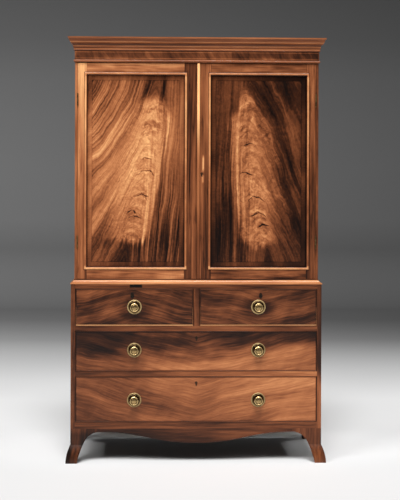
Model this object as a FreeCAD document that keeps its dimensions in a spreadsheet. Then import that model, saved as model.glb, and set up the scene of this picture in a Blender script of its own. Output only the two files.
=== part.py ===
import FreeCAD
import Part
import math
import os
import re
import Sketcher

# A linen press in two cases. The lower case stands on French bracket feet and holds two short
# drawers over two long ones. The upper case has a pair of panelled doors with sliding linen trays
# behind them, and carries a separate cornice. X runs along the front, the front faces -Y, the
# floor is at Z = 0, and the origin is the middle of the ground that the whole press covers.

# ---------------------------------------------------------------------------------------------
# Driving dimensions, in millimetres
# ---------------------------------------------------------------------------------------------
SIZES = {
    # lower case
    "case_width": 1226,
    "case_depth": 530,
    "side_board": 21,
    "case_board": 21,
    "back_board": 11,
    "back_joint": 1,
    "bottom_board": 18,
    "rail_depth": 62,
    "divider_width": 28,
    # heights, from the floor up
    "base_height": 165,
    "bottom_rail": 31,
    "deep_row": 224,
    "lower_rail": 24,
    "middle_row": 197,
    "upper_rail": 26,
    "top_row": 182,
    "waist_height": 23,
    "upper_height": 1060,
    "cornice_height": 123,
    # base and feet
    "flare_reach": 22,
    "flare_height": 86,
    "bracket_width": 143,
    "bracket_board": 24,
    "bracket_rise": 148.5,
    "foot_width": 54,
    "knee_width": 65,
    "knee_height": 95,
    "knee_radius": 83.6,
    "shin_radius": 420,
    "apron_drop": 54,
    "block_side": 34,
    # waist moulding
    "setback": 16,
    "waist_fillet": 5,
    "waist_nosing": 3,
    "waist_lip": 2,
    # upper case
    "upper_board": 12,
    "shelf_board": 22,
    "bottom_stop": 9,
    "bearer_width": 20,
    "bearer_height": 16,
    # cornice
    "frieze_reach": 6,
    "frieze_overhang": 2,
    "frieze_board": 22,
    "cap_recess": 6,
    "cornice_reach": 32,
    "cyma_head": 30,
    "cyma_middle": 25,
    "cyma_foot": 20,
    "cyma_radius": 13.3,
    "fillet_reach": 18.5,
    "cavetto_head": 17,
    "cavetto_foot": 7,
    "cavetto_radius": 14.7,
    "cornice_bead_reach": 5,
    "cornice_cap": 6,
    "cornice_cyma": 19,
    "cornice_fillet": 5,
    "cornice_cavetto": 14,
    "cornice_bead": 8,
    "cornice_step": 6,
    "cornice_astragal": 8,
    "astragal_rise": 13,
    "astragal_reach": 4,
    "astragal_neck": 2,
    "astragal_quirk": 1,
    "astragal_radius": 6,
    # doors
    "door_gap": 2,
    "side_gap": 1.5,
    "door_board": 24,
    "door_lip": 12,
    "outer_stile": 45,
    "left_stile": 61,
    "right_stile": 68,
    "top_rail": 58,
    "foot_rail": 58,
    "panel_rebate": 10,
    "panel_board": 10,
    "bead_width": 14,
    "bead_reach": 5,
    "bead_edge": 1,
    "meeting_bead": 13,
    "meeting_reach": 5,
    # butt hinges
    "hinge_length": 64,
    "hinge_leaf": 2,
    "hinge_width": 20,
    "knuckle_radius": 3,
    "pin_radius": 1.2,
    "pin_hold": 12,
    "pin_play": 0.05,
    "knuckle_play": 0.3,
    "hinge_inset": 150,
    # drawers
    "drawer_gap": 1.5,
    "drawer_front": 22,
    "dovetail_lap": 8,
    "drawer_side": 11,
    "drawer_back": 10,
    "drawer_bottom": 8,
    "drawer_length": 490,
    "runner_play": 0.3,
    "bottom_rise": 9,
    "runner_width": 36,
    "guide_width": 24,
    "guide_drop": 20,
    "stop_place": 414,
    "stop_spread": 150,
    "side_drop": 3,
    "back_drop": 6,
    "stop_height": 7,
    "stop_width": 40,
    "stop_depth": 16,
    # linen trays
    "tray_count": 4,
    "tray_horn": 70,
    "tray_height": 105,
    "tray_lip": 62,
    "tray_board": 12,
    "tray_setback": 34,
    "tray_length": 420,
    "tray_play": 3,
    # brass
    "knob_reach": 38,
    "knob_radius": 22.5,
    "knob_rim": 2,
    "knob_cheek": 11,
    "knob_neck": 11,
    "plate_radius": 35.5,
    "plate_reach": 4,
    "knob_place": 303,
    "short_knob_drop": 90,
    "middle_knob_rise": 104.4,
    "deep_knob_rise": 109,
    "lock_shift": 11,
    "lock_width": 62,
    "lock_height": 44,
    "lock_depth": 12,
    "bolt_width": 22,
    "bolt_depth": 5,
    "bolt_length": 32,
    "bolt_throw": 8,
    "bolt_play": 0.3,
    "mortise_play": 1,
    "keyhole_radius": 3.2,
    "keyhole_slot": 2.6,
    "keyhole_drop": 10,
    "key_drop": 30,
    "door_key_height": 1411,
    "door_key_place": 24,
}

# Places worked out from the sizes, each written with the names above and before it.
PLACES = {
    "case_front": "-(case_depth - knob_reach) / 2",
    "case_back": "case_front + case_depth",
    "case_half": "case_width / 2",
    "inner_half": "case_half - side_board",
    "board_back": "case_back - back_board",
    "deep_floor": "base_height + bottom_rail",
    "deep_ceiling": "deep_floor + deep_row",
    "middle_floor": "deep_ceiling + lower_rail",
    "middle_ceiling": "middle_floor + middle_row",
    "top_floor": "middle_ceiling + upper_rail",
    "top_ceiling": "top_floor + top_row",
    "case_top": "top_ceiling + case_board",
    "ledge": "case_top + waist_height",
    "upper_top": "ledge + upper_height",
    "press_top": "upper_top + cornice_height",
    "upper_half": "case_half - setback",
    "upper_front": "case_front + setback",
    "upper_inner": "upper_half - upper_board",
    "door_back": "upper_front + door_board",
    "shelf_front": "door_back + 1",
    "door_bottom": "ledge + door_gap",
    "door_top": "upper_top - door_gap",
    "door_edge": "upper_inner - side_gap",
    "meeting_edge": "side_gap / 2",
    "tray_floor": "ledge + bottom_stop",
    "tray_ceiling": "upper_top - shelf_board",
    "tray_pitch": "(tray_ceiling - tray_floor) / tray_count",
    "tray_front": "door_back + tray_setback",
    "tray_back": "tray_front + tray_length",
    "tray_half": "upper_inner - tray_play",
    "frieze_front": "upper_front - frieze_reach",
    "frieze_half": "upper_half + frieze_overhang",
    "cornice_base": "press_top - cornice_cap - cornice_cyma - cornice_fillet - cornice_cavetto"
                    " - cornice_bead - cornice_step - cornice_astragal",
    "hinge_line": "upper_inner - side_gap / 2",
    "hinge_front": "upper_front - knuckle_radius - knuckle_play",
    "hinge_span": "upper_height - 2 * hinge_inset - hinge_length",
    "front_back": "case_front + drawer_front",
    "drawer_end": "case_front + drawer_length",
    "long_half": "inner_half - drawer_gap",
    "short_inner": "divider_width / 2 + drawer_gap",
    "short_middle": "(long_half + short_inner) / 2",
    "short_lock": "short_middle + lock_shift",
}

TRAYS = SIZES["tray_count"]
HINGES = 2
KNUCKLES = 3
BACK_BOARDS = 5
ROUND = 0.55
TAIL_TIP = 0.36
TAIL_ROOT = 0.26

document = FreeCAD.newDocument("linen_press")
sheet = document.addObject("Spreadsheet::Sheet", "Sizes")
for row, (alias, millimetres) in enumerate(SIZES.items(), start=1):
    sheet.set(f"A{row}", str(millimetres))
    sheet.setAlias(f"A{row}", alias)
document.recompute()


# ---------------------------------------------------------------------------------------------
# Ways of building
# ---------------------------------------------------------------------------------------------
def formula(text):
    """The text with each size as its cell of the sheet and each place written out."""
    def cell(word):
        name = word.group()
        if name in SIZES:
            return f"Sizes.{name}"
        if name in PLACES:
            return f"({formula(PLACES[name])})"
        return name
    return re.sub("[a-z_]+", cell, str(text))


def number(text):
    """The value that a formula has now, in millimetres."""
    return float(sheet.evalExpression(formula(text)))


def bind(thing, size, text):
    """Make one property of a thing follow a formula."""
    thing.setExpression(size, formula(text))


def board(name, x, y, z):
    """A square board between two places along each axis."""
    box = document.addObject("Part::Box", name)
    for axis, length, (start, end) in (("x", "Length", x), ("y", "Width", y), ("z", "Height", z)):
        bind(box, f"Placement.Base.{axis}", f"min({start}; {end})")
        bind(box, length, f"abs(({end}) - ({start}))")
    return box


def group(name, pieces):
    """Several separate solids that share one node."""
    compound = document.addObject("Part::Compound", name)
    compound.Links = pieces
    return compound


def join(name, pieces):
    """One solid out of pieces that meet."""
    fusion = document.addObject("Part::MultiFuse", name)
    fusion.Shapes = pieces
    fusion.Refine = True
    return fusion


def overlap(name, pieces):
    """The solid that all the pieces share."""
    common = document.addObject("Part::MultiCommon", name)
    common.Shapes = pieces
    return common


def cut(name, piece, tools):
    """A piece with the tools' shapes taken out of it."""
    result = document.addObject("Part::Cut", name)
    result.Base = piece
    result.Tool = tools[0] if len(tools) == 1 else group(name + "_tools", tools)
    return result


def mirror(name, piece):
    """The same piece for the other side of the press."""
    copy = document.addObject("Part::Mirroring", name)
    copy.Source = piece
    copy.Normal = FreeCAD.Vector(1, 0, 0)
    return copy


def arc_between(start, end, radius):
    """The arc of a radius from start to end. A positive radius swells to the left of the way."""
    chord = end - start
    half = chord.Length / 2
    rise = abs(radius) - math.sqrt(radius * radius - half * half)
    left = FreeCAD.Vector(-chord.y, chord.x, 0).normalize()
    middle = (start + end) / 2 + left * math.copysign(rise, radius)
    return Part.Arc(start, middle, end)


def end_at(sketch, edge, point):
    """Which end of a sketch's edge lies at the point."""
    return min((1, 2), key=lambda end: (sketch.getPoint(edge, end) - point).Length)


def outline(sketch, corners):
    """Close an outline through its corners, and hold each corner to its two formulas.

    A corner is (across, up), or (across, up, radius) where the edge to the next one is an arc.
    """
    points = [FreeCAD.Vector(number(corner[0]), number(corner[1]), 0) for corner in corners]
    first = sketch.GeometryCount
    for index, corner in enumerate(corners):
        start, end = points[index], points[(index + 1) % len(points)]
        if len(corner) == 3:
            sketch.addGeometry(arc_between(start, end, number(corner[2])), False)
        else:
            sketch.addGeometry(Part.LineSegment(start, end), False)
    for index, corner in enumerate(corners):
        edge, following = first + index, first + (index + 1) % len(corners)
        turn = points[(index + 1) % len(points)]
        sketch.addConstraint(Sketcher.Constraint(
            "Coincident", edge, end_at(sketch, edge, turn), following, end_at(sketch, following, turn)))
        near = end_at(sketch, edge, points[index])
        for kind, value, text in (("DistanceX", points[index].x, corner[0]),
                                  ("DistanceY", points[index].y, corner[1])):
            held = sketch.addConstraint(Sketcher.Constraint(kind, -1, 1, edge, near, value))
            bind(sketch, f"Constraints[{held}]", text)
        if len(corner) == 3:
            held = sketch.addConstraint(
                Sketcher.Constraint("Radius", edge, abs(number(corner[2]))))
            bind(sketch, f"Constraints[{held}]", f"abs({corner[2]})")


def sketch_in(body, plane, corners, lift="0"):
    """A sketch on one of the body's own planes, lifted along the plane's normal."""
    sketch = body.newObject("Sketcher::SketchObject", body.Name + "_outline")
    support = [part for part in body.Origin.OriginFeatures if part.Role == plane]
    sketch.AttachmentSupport = [(support[0], "")]
    sketch.MapMode = "FlatFace"
    bind(sketch, "AttachmentOffset.Base.z", lift)
    outline(sketch, corners)
    return sketch


def padded(name, plane, corners, start, end):
    """A body padded from an outline between two places along the plane's normal.

    The normal is +X for YZ_Plane, +Z for XY_Plane and -Y for XZ_Plane.
    """
    body = document.addObject("PartDesign::Body", name)
    pad = body.newObject("PartDesign::Pad", name + "_pad")
    pad.Profile = sketch_in(body, plane, corners, start)
    bind(pad, "Length", f"({end}) - ({start})")
    return body


def along_x(name, corners, start, end):
    return padded(name, "YZ_Plane", corners, start, end)


def along_y(name, corners, start, end):
    return padded(name, "XZ_Plane", corners, f"-({end})", f"-({start})")


def along_z(name, corners, start, end):
    return padded(name, "XY_Plane", corners, start, end)


def turned(name, corners, x, y, z):
    """A body turned about a line along Y, from a section given as (distance along Y, radius)."""
    body = document.addObject("PartDesign::Body", name)
    section = sketch_in(body, "YZ_Plane", corners)
    revolution = body.newObject("PartDesign::Revolution", name + "_turning")
    revolution.Profile = section
    revolution.ReferenceAxis = (section, ["H_Axis"])
    revolution.Angle = 360
    for axis, place in (("x", x), ("y", y), ("z", z)):
        bind(body, f"Placement.Base.{axis}", place)
    return body


def mitred(name, section, length, width, ends):
    """A length of moulding along its own X, with its long edge at Y = 0, mitred at its ends.

    The section is given as (distance in from the long edge, height).
    """
    body = document.addObject("PartDesign::Body", name)
    pad = body.newObject("PartDesign::Pad", name + "_pad")
    pad.Profile = sketch_in(body, "YZ_Plane", section)
    pad.Midplane = True
    bind(pad, "Length", length)
    document.recompute()
    for end in ends:
        tip = f"{end} * (({length}) / 2 + 1)"
        heel = f"{end} * (({length}) / 2 - ({width}) - 1)"
        corners = [(tip, "-1"), (tip, f"({width}) + 1"), (heel, f"({width}) + 1")]
        pocket = body.newObject("PartDesign::Pocket", name + "_mitre")
        pocket.Profile = sketch_in(body, "XY_Plane", corners)
        pocket.Type = "ThroughAll"
        pocket.Midplane = True
        document.recompute()
    return body


def lay(piece, x_axis, y_axis, x, y, z):
    """Turn a length of moulding so that its own X and Y run along two axes, and place it."""
    across = FreeCAD.Vector(*x_axis)
    inward = FreeCAD.Vector(*y_axis)
    turn = FreeCAD.Rotation(across, inward, across.cross(inward), "XYZ")
    piece.Placement = FreeCAD.Placement(FreeCAD.Vector(0, 0, 0), turn)
    for axis, place in (("x", x), ("y", y), ("z", z)):
        bind(piece, f"Placement.Base.{axis}", place)
    return piece


def surround(name, section, reach, half, front, base):
    """A moulding round the front and both sides of a case, in three mitred lengths."""
    bed = section_width(section)
    front_piece = mitred(name + "_front", section, f"2 * ({half}) + 2 * ({reach})", bed, (-1, 1))
    lay(front_piece, (1, 0, 0), (0, 1, 0), "0", f"({front}) - ({reach})", base)
    run = f"case_back - ({front}) + ({reach})"
    left = mitred(name + "_left", section, run, bed, (1,))
    lay(left, (0, -1, 0), (1, 0, 0), f"-({half}) - ({reach})", f"case_back - ({run}) / 2", base)
    right = mitred(name + "_right", section, run, bed, (-1,))
    lay(right, (0, 1, 0), (-1, 0, 0), f"({half}) + ({reach})", f"case_back - ({run}) / 2", base)
    return [front_piece, left, right]


def section_width(section):
    """The formula for how far in a section reaches: its widest corner."""
    return max((corner[0] for corner in section), key=number)


# ---------------------------------------------------------------------------------------------
# Base: shaped aprons and outswept bracket feet
# ---------------------------------------------------------------------------------------------
FLARE = "((flare_height * flare_height + flare_reach * flare_reach) / (2 * flare_reach))"


def bracket(edge, inward):
    """The face of a bracket foot, from its outer edge, with its top inner corner first."""
    def place(distance):
        return f"({edge}) + ({inward}) * ({distance})"
    return [
        (place("bracket_width"), "base_height"),
        (place("0"), "base_height"),
        (place("0"), "flare_height", f"-({inward}) * {FLARE}"),
        (place("-flare_reach"), "0"),
        (place("foot_width - flare_reach"), "0", f"({inward}) * shin_radius"),
        (place("knee_width"), "knee_height", f"({inward}) * knee_radius"),
        (place("bracket_width"), "bracket_rise"),
    ]


def flared_strip(edge, inward):
    """A foot's board seen edge on: upright above, swept out to the floor below."""
    inner = f"({edge}) + ({inward}) * bracket_board"
    return [
        (inner, "base_height"),
        (edge, "base_height"),
        (edge, "flare_height", f"-({inward}) * {FLARE}"),
        (f"({edge}) - ({inward}) * flare_reach", "0"),
        (f"({inner}) - ({inward}) * flare_reach", "0", f"({inward}) * {FLARE}"),
        (inner, "flare_height"),
    ]


def front_foot(name):
    """The left front foot: two brackets that sweep out to the front and to the side."""
    low, high = "-case_half - flare_reach", "-case_half + bracket_width"
    near, far = "case_front - flare_reach", "case_front + bracket_width"
    front_face = along_y(name + "_front_face", bracket("-case_half", "1"), near, far)
    front_sweep = along_x(name + "_front_sweep", flared_strip("case_front", "1"), low, high)
    side_face = along_x(name + "_side_face", bracket("case_front", "1"), low, high)
    side_sweep = along_y(name + "_side_sweep", flared_strip("-case_half", "1"), near, far)
    return join(name, [overlap(name + "_front", [front_face, front_sweep]),
                       overlap(name + "_side", [side_face, side_sweep])])


def rear_foot(name):
    """The left rear foot: it sweeps out to the side only, and its back is flat."""
    low, high = "-case_half - flare_reach", "-case_half + bracket_width"
    near = "case_back - bracket_width"
    side_face = along_x(name + "_side_face", bracket("case_back", "-1"), low, high)
    side_sweep = along_y(name + "_side_sweep", flared_strip("-case_half", "1"), near, "case_back")
    back_face = along_y(name + "_back_face", bracket("-case_half", "1"), "case_back - bracket_board",
                        "case_back")
    return join(name, [overlap(name + "_side", [side_face, side_sweep]), back_face])


def make_base():
    half = "(case_half - bracket_width)"
    swell = f"(({half} * {half} + apron_drop * apron_drop) / (4 * apron_drop))"
    low = "bracket_rise - apron_drop"
    middle = "bracket_rise - apron_drop / 2"
    apron = along_y("front_apron", [
        (half, "base_height"),
        (f"-{half}", "base_height"),
        (f"-{half}", "bracket_rise", swell),
        (f"-{half} / 2", middle, f"-{swell}"),
        ("0", low, f"-{swell}"),
        (f"{half} / 2", middle, swell),
        (half, "bracket_rise"),
    ], "case_front", "case_front + bracket_board")
    side = board("side_apron_left", ("-case_half", "-case_half + bracket_board"),
                 ("case_front + bracket_width", "case_back - bracket_width"),
                 ("bracket_rise", "base_height"))
    side_aprons = group("side_aprons", [side, mirror("side_apron_right", side)])
    rear_rail = board("rear_rail", (f"-{half}", half), ("case_back - bracket_board", "case_back"),
                      ("bracket_rise", "base_height"))
    front = front_foot("foot_front_left")
    rear = rear_foot("foot_rear_left")
    front_feet = group("front_feet", [front, mirror("foot_front_right", front)])
    rear_feet = group("rear_feet", [rear, mirror("foot_rear_right", rear)])
    return [apron, side_aprons, rear_rail, front_feet, rear_feet, foot_blocks()]


def foot_blocks():
    """Glue blocks that stiffen the corner inside each foot."""
    left = ("-case_half + bracket_board", "-case_half + bracket_board + block_side")
    front = ("case_front + bracket_board", "case_front + bracket_board + block_side")
    back = ("case_back - bracket_board - block_side", "case_back - bracket_board")
    height = ("flare_height", "base_height")
    front_block = board("block_front_left", left, front, height)
    rear_block = board("block_rear_left", left, back, height)
    blocks = [front_block, rear_block, mirror("block_front_right", front_block),
              mirror("block_rear_right", rear_block)]
    return group("foot_blocks", blocks)


# ---------------------------------------------------------------------------------------------
# Lower case
# ---------------------------------------------------------------------------------------------
BOLT_MIDDLE = "front_back - lock_depth / 2"


def bolt_mortise(name, x, underside):
    """The hole above a drawer that its lock's bolt rises into."""
    half_width, half_depth = "bolt_width / 2 + mortise_play", "bolt_depth / 2 + mortise_play"
    return board(name, (f"({x}) - ({half_width})", f"({x}) + {half_width}"),
                 (f"{BOLT_MIDDLE} - ({half_depth})", f"{BOLT_MIDDLE} + {half_depth}"),
                 (f"({underside}) - 1", f"({underside}) + bolt_throw + mortise_play"))


def front_rail(name, low, high, mortises):
    """A drawer rail across the front, with the mortises for the locks below it."""
    rail = board(name + "_board", ("-inner_half", "inner_half"),
                 ("case_front", "case_front + rail_depth"), (low, high))
    if not mortises:
        return rail
    tools = [bolt_mortise(f"{name}_mortise_{index}", x, low) for index, x in enumerate(mortises)]
    return cut(name, rail, tools)


def back_boards(name, half, low, high):
    """Upright boards across the back of a case, with a joint between each two."""
    pieces = []
    pitch = f"(2 * ({half}) / {BACK_BOARDS})"
    for index in range(BACK_BOARDS):
        start = f"-({half}) + {index} * {pitch}"
        end = f"{start} + {pitch} - back_joint" if index < BACK_BOARDS - 1 else half
        pieces.append(board(f"{name}_{index + 1}", (start, end), ("board_back", "case_back"),
                            (low, high)))
    return group(name, pieces)


def make_lower_case():
    height = ("base_height", "case_top")
    left = board("lower_side_left", ("-case_half", "-inner_half"), ("case_front", "case_back"),
                 height)
    right = mirror("lower_side_right", left)
    top_board = board("lower_top_plain", ("-inner_half", "inner_half"),
                      ("case_front", "board_back"), ("top_ceiling", "case_top"))
    top = cut("lower_top_board", top_board,
              [bolt_mortise("top_mortise_left", "-short_lock", "top_ceiling"),
               bolt_mortise("top_mortise_right", "short_lock", "top_ceiling")])
    bottom = board("lower_bottom_board", ("-inner_half", "inner_half"),
                   ("case_front + rail_depth", "board_back"),
                   ("base_height", "base_height + bottom_board"))
    rails = group("drawer_rails", [
        front_rail("upper_drawer_rail", "middle_ceiling", "top_floor", ["0"]),
        front_rail("lower_drawer_rail", "deep_ceiling", "middle_floor", ["0"]),
        front_rail("bottom_drawer_rail", "base_height", "deep_floor", []),
    ])
    divider = board("drawer_divider", ("-divider_width / 2", "divider_width / 2"),
                    ("case_front", "case_front + rail_depth"), ("top_floor", "top_ceiling"))
    back = back_boards("lower_back_boards", "inner_half", "base_height", "case_top")
    return [left, right, top, bottom, rails, divider, make_runners(), back]


def make_runners():
    """Strips that the drawers slide on, the guide between the short ones, and the drawer stops."""
    pieces = []
    depth = ("case_front + rail_depth", "board_back")
    for name, low, high in (("deep", "base_height + bottom_board", "deep_floor"),
                            ("middle", "deep_ceiling", "middle_floor"),
                            ("top", "middle_ceiling", "top_floor")):
        runner = board(f"{name}_runner_left", ("-inner_half", "-inner_half + runner_width"), depth,
                       (low, high))
        pieces += [runner, mirror(f"{name}_runner_right", runner)]
    pieces.append(board("middle_runner", ("-runner_width", "runner_width"), depth,
                        ("middle_ceiling", "top_floor")))
    pieces.append(board("middle_guide", ("-guide_width / 2", "guide_width / 2"), depth,
                        ("top_floor", "top_ceiling - guide_drop")))
    for name, x, floor in (("deep", "stop_place", "deep_floor"),
                           ("middle", "stop_place", "middle_floor"),
                           ("top_outer", "short_middle + stop_spread", "top_floor"),
                           ("top_inner", "short_middle - stop_spread", "top_floor")):
        stop = board(f"{name}_stop_left", (f"-({x}) - stop_width / 2", f"-({x}) + stop_width / 2"),
                     ("front_back + runner_play", "front_back + runner_play + stop_depth"),
                     (floor, f"({floor}) + stop_height"))
        pieces += [stop, mirror(f"{name}_stop_right", stop)]
    return group("drawer_runners", pieces)


def make_waist():
    """The moulding on the lower case's top, and the strip under the doors that backs it."""
    foot = "waist_nosing + setback"
    section = [
        ("0", "0"),
        (foot, "0"),
        (foot, "waist_height"),
        (f"{foot} - waist_lip", "waist_height"),
        (f"{foot} - waist_lip", "waist_height - waist_lip", "waist_height"),
        ("waist_nosing", "waist_fillet"),
        ("0", "waist_fillet"),
    ]
    lengths = surround("waist", section, "waist_nosing", "case_half", "case_front", "case_top")
    bed = board("waist_bed_strip", ("-upper_inner", "upper_inner"), ("upper_front", "door_back"),
                ("case_top", "ledge"))
    return [group("waist_moulding", lengths + [bed])]


# ---------------------------------------------------------------------------------------------
# Upper case and its trays
# ---------------------------------------------------------------------------------------------
def tray_level(index):
    """The height of one tray's underside."""
    return f"tray_floor + {index} * tray_pitch + bearer_height + runner_play"


def make_upper_case():
    side = board("upper_side_plain", ("-upper_half", "-upper_inner"), ("upper_front", "case_back"),
                 ("case_top", "upper_top"))
    leaves = [case_leaf(f"left_case_leaf_{index}", index) for index in range(HINGES)]
    side = cut("upper_side_left", side, [hinge_bed(f"left_case_bed_{index}", index, 1)
                                         for index in range(HINGES)])
    right = mirror("upper_side_right", side)
    width = ("-upper_inner", "upper_inner")
    depth = ("shelf_front", "board_back")
    top = board("upper_top_board", width, depth, ("upper_top - shelf_board", "upper_top"))
    bottom = board("upper_bottom_board", width, depth,
                   ("ledge + bottom_stop - shelf_board", "ledge + bottom_stop"))
    back = back_boards("upper_back_boards", "upper_inner", "case_top", "upper_top")
    bearers = []
    for index in range(TRAYS):
        low = f"tray_floor + {index} * tray_pitch"
        bearer = board(f"bearer_left_{index + 1}", ("-upper_inner", "-upper_inner + bearer_width"),
                       ("tray_front", "board_back"), (low, f"{low} + bearer_height"))
        bearers += [bearer, mirror(f"bearer_right_{index + 1}", bearer)]
    leaves += [mirror(f"right_case_leaf_{index}", leaf) for index, leaf in enumerate(leaves)]
    return [side, right, top, bottom, back, group("tray_bearers", bearers),
            group("case_hinge_leaves", leaves)]


def dovetailed_side(name, x, front, back, low, high, lap, back_lap, tails):
    """A drawer side: tails at its front end lap into the front, and others go through the back.

    The outline runs up the front end, back along the top and down the rear end.
    """
    pitch = f"((({high}) - ({low})) / {tails})"
    tip, root = f"{pitch} * {TAIL_TIP}", f"{pitch} * {TAIL_ROOT}"
    front_end, rear_end = [], []
    for index in range(tails):
        middle = f"({low}) + {index + 0.5} * {pitch}"
        front_end += [(front, f"{middle} - {root}"), (f"({front}) - ({lap})", f"{middle} - {tip}"),
                      (f"({front}) - ({lap})", f"{middle} + {tip}"), (front, f"{middle} + {root}")]
        rear_end += [(back, f"{middle} - {root}"), (f"({back}) + ({back_lap})", f"{middle} - {tip}"),
                     (f"({back}) + ({back_lap})", f"{middle} + {tip}"), (back, f"{middle} + {root}")]
    corners = [(front, low), *front_end, (front, high), (back, high), *reversed(rear_end), (back, low)]
    return along_x(name, corners, x[0], x[1])


def make_tray(index):
    """A sliding tray for linen: a low front, dovetailed sides, a back and a bottom."""
    name = f"linen_tray_{index + 1}"
    low = tray_level(index)
    high = f"{low} + tray_height"
    inside = "tray_half - tray_board"
    left = dovetailed_side(f"{name}_left", ("-tray_half", f"-({inside})"), "tray_front + tray_board",
                           "tray_back - tray_board", low, high, "tray_board", "tray_board", 2)
    right = mirror(f"{name}_right", left)
    lip = f"{low} + tray_lip"
    front = along_y(f"{name}_front_board", [
        ("-tray_half", low),
        ("tray_half", low),
        ("tray_half", high),
        ("tray_half - tray_horn", high, "-(tray_height - tray_lip)"),
        ("tray_half - tray_horn - (tray_height - tray_lip)", lip),
        ("-tray_half + tray_horn + (tray_height - tray_lip)", lip, "-(tray_height - tray_lip)"),
        ("-tray_half + tray_horn", high),
        ("-tray_half", high),
    ], "tray_front", "tray_front + tray_board")
    back = board(f"{name}_back_board", ("-tray_half", "tray_half"),
                 ("tray_back - tray_board", "tray_back"), (low, high))
    bottom = board(f"{name}_bottom", (f"-({inside})", inside),
                   ("tray_front + tray_board", "tray_back - tray_board"),
                   (low, f"{low} + tray_board"))
    return group(name, [cut(f"{name}_front", front, [left, right]),
                        cut(f"{name}_back", back, [left, right]), left, right, bottom])


# ---------------------------------------------------------------------------------------------
# Butt hinges: leaves let into the case and the door, with three knuckles round one pin
# ---------------------------------------------------------------------------------------------
def hinge_low(index):
    return f"ledge + hinge_inset + {index} * hinge_span"


def hinge_bed(name, index, side):
    """The bed cut for one leaf: side 1 in the case's left side, -1 in the left door's edge."""
    face = "upper_inner" if side > 0 else "door_edge"
    depth = "hinge_leaf" if side > 0 else "-hinge_leaf"
    return board(name, (f"-({face})", f"-({face}) - ({depth})"),
                 ("upper_front - 1", "upper_front + hinge_width"),
                 (hinge_low(index), f"{hinge_low(index)} + hinge_length"))


def hinge_half(name, index, side, knuckles):
    """A leaf in its bed, with its own knuckles joined to it by tongues."""
    face = "upper_inner" if side > 0 else "door_edge"
    depth = "hinge_leaf" if side > 0 else "-hinge_leaf"
    thickness = (f"-({face})", f"-({face}) - ({depth})")
    low = hinge_low(index)
    step = f"(hinge_length / {KNUCKLES})"
    pieces = [board(f"{name}_leaf", thickness, ("upper_front", "upper_front + hinge_width"),
                    (low, f"{low} + hinge_length"))]
    for knuckle in knuckles:
        start = f"{low} + {knuckle} * {step} + knuckle_play / 2"
        end = f"{low} + {knuckle + 1} * {step} - knuckle_play / 2"
        pieces.append(board(f"{name}_tongue_{knuckle}", thickness, ("upper_front", "hinge_front"),
                            (start, end)))
        barrel = document.addObject("Part::Cylinder", f"{name}_knuckle_{knuckle}")
        bind(barrel, "Radius", "knuckle_radius")
        place_rod(barrel, start, end)
        pieces.append(barrel)
    return pieces


def place_rod(rod, start, end):
    """Stand a cylinder on the hinge's line between two heights."""
    bind(rod, "Height", f"({end}) - ({start})")
    for axis, place in (("x", "-hinge_line"), ("y", "hinge_front"), ("z", start)):
        bind(rod, f"Placement.Base.{axis}", place)


def pin(name, index, radius, margin):
    """The hinge's pin, or with more radius the bore that it runs in."""
    rod = document.addObject("Part::Cylinder", name)
    bind(rod, "Radius", radius)
    place_rod(rod, f"{hinge_low(index)} - ({margin})", f"{hinge_low(index)} + hinge_length + ({margin})")
    return rod


def case_leaf(name, index):
    """The half on the case, with the outer knuckles and the pin fast in them."""
    pieces = hinge_half(name, index, 1, (0, 2))
    return join(name, pieces + [pin(name + "_pin", index, "pin_radius", "-pin_hold")])


def door_leaf(name, index):
    """The half on the door, with the middle knuckle bored for the pin."""
    pieces = hinge_half(name, index, -1, (1,))
    bore = pin(name + "_bore", index, "pin_radius + pin_play", "1")
    return cut(name, join(name + "_solid", pieces), [bore])


# ---------------------------------------------------------------------------------------------
# Doors
# ---------------------------------------------------------------------------------------------
def rebated(name, outer, inner, z, tools):
    """A stile from its outer to its inner edge, rebated behind for the panel."""
    plain = board(name + "_plain", (outer, inner), ("upper_front", "door_back"), z)
    toward = "1" if number(inner) > number(outer) else "-1"
    rebate = board(name + "_rebate", (f"({inner}) - {toward} * panel_rebate", f"({inner}) + {toward}"),
                   ("upper_front + door_lip", "door_back + 1"),
                   ("door_bottom + foot_rail - panel_rebate", "door_top - top_rail + panel_rebate"))
    return cut(name, plain, [rebate] + tools)


def rebated_rail(name, x, outer, inner):
    """A rail between the stiles, rebated behind for the panel."""
    toward = "1" if number(inner) > number(outer) else "-1"
    depth = ("upper_front", "door_back")
    plain = board(name + "_plain", x, depth, (outer, inner))
    rebate = board(name + "_rebate", (f"({x[0]}) - 1", f"({x[1]}) + 1"),
                   ("upper_front + door_lip", "door_back + 1"),
                   (f"({inner}) - {toward} * panel_rebate", f"({inner}) + {toward}"))
    return cut(name, plain, [rebate])


def dome(width, rise):
    """The radius of an arc that is so wide and rises so far."""
    return f"((({width}) ^ 2 / 4 + ({rise}) ^ 2) / (2 * ({rise})))"


BEAD_SECTION = [
    ("0", "0"),
    ("bead_width", "0"),
    ("bead_width", "bead_edge", f"-{dome('bead_width', 'bead_reach - bead_edge')}"),
    ("0", "bead_edge"),
]


def door_beads(name, left, right):
    """The four mitred lengths of bead round a panel; left and right are the bead's outer edges."""
    low, high = "door_bottom + foot_rail - bead_width", "door_top - top_rail + bead_width"
    width = f"({right}) - ({left})"
    height = f"({high}) - ({low})"
    middle_x = f"(({left}) + ({right})) / 2"
    middle_z = f"(({low}) + ({high})) / 2"
    lengths = (
        ("top", width, (-1, 0, 0), (0, 0, -1), middle_x, high),
        ("bottom", width, (1, 0, 0), (0, 0, 1), middle_x, low),
        ("left", height, (0, 0, -1), (1, 0, 0), left, middle_z),
        ("right", height, (0, 0, 1), (-1, 0, 0), right, middle_z),
    )
    beads = []
    for place, run, x_axis, y_axis, x, z in lengths:
        bead = mitred(f"{name}_{place}", BEAD_SECTION, run, "bead_width", (-1, 1))
        beads.append(lay(bead, x_axis, y_axis, x, "upper_front", z))
    return group(name, beads)


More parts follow.
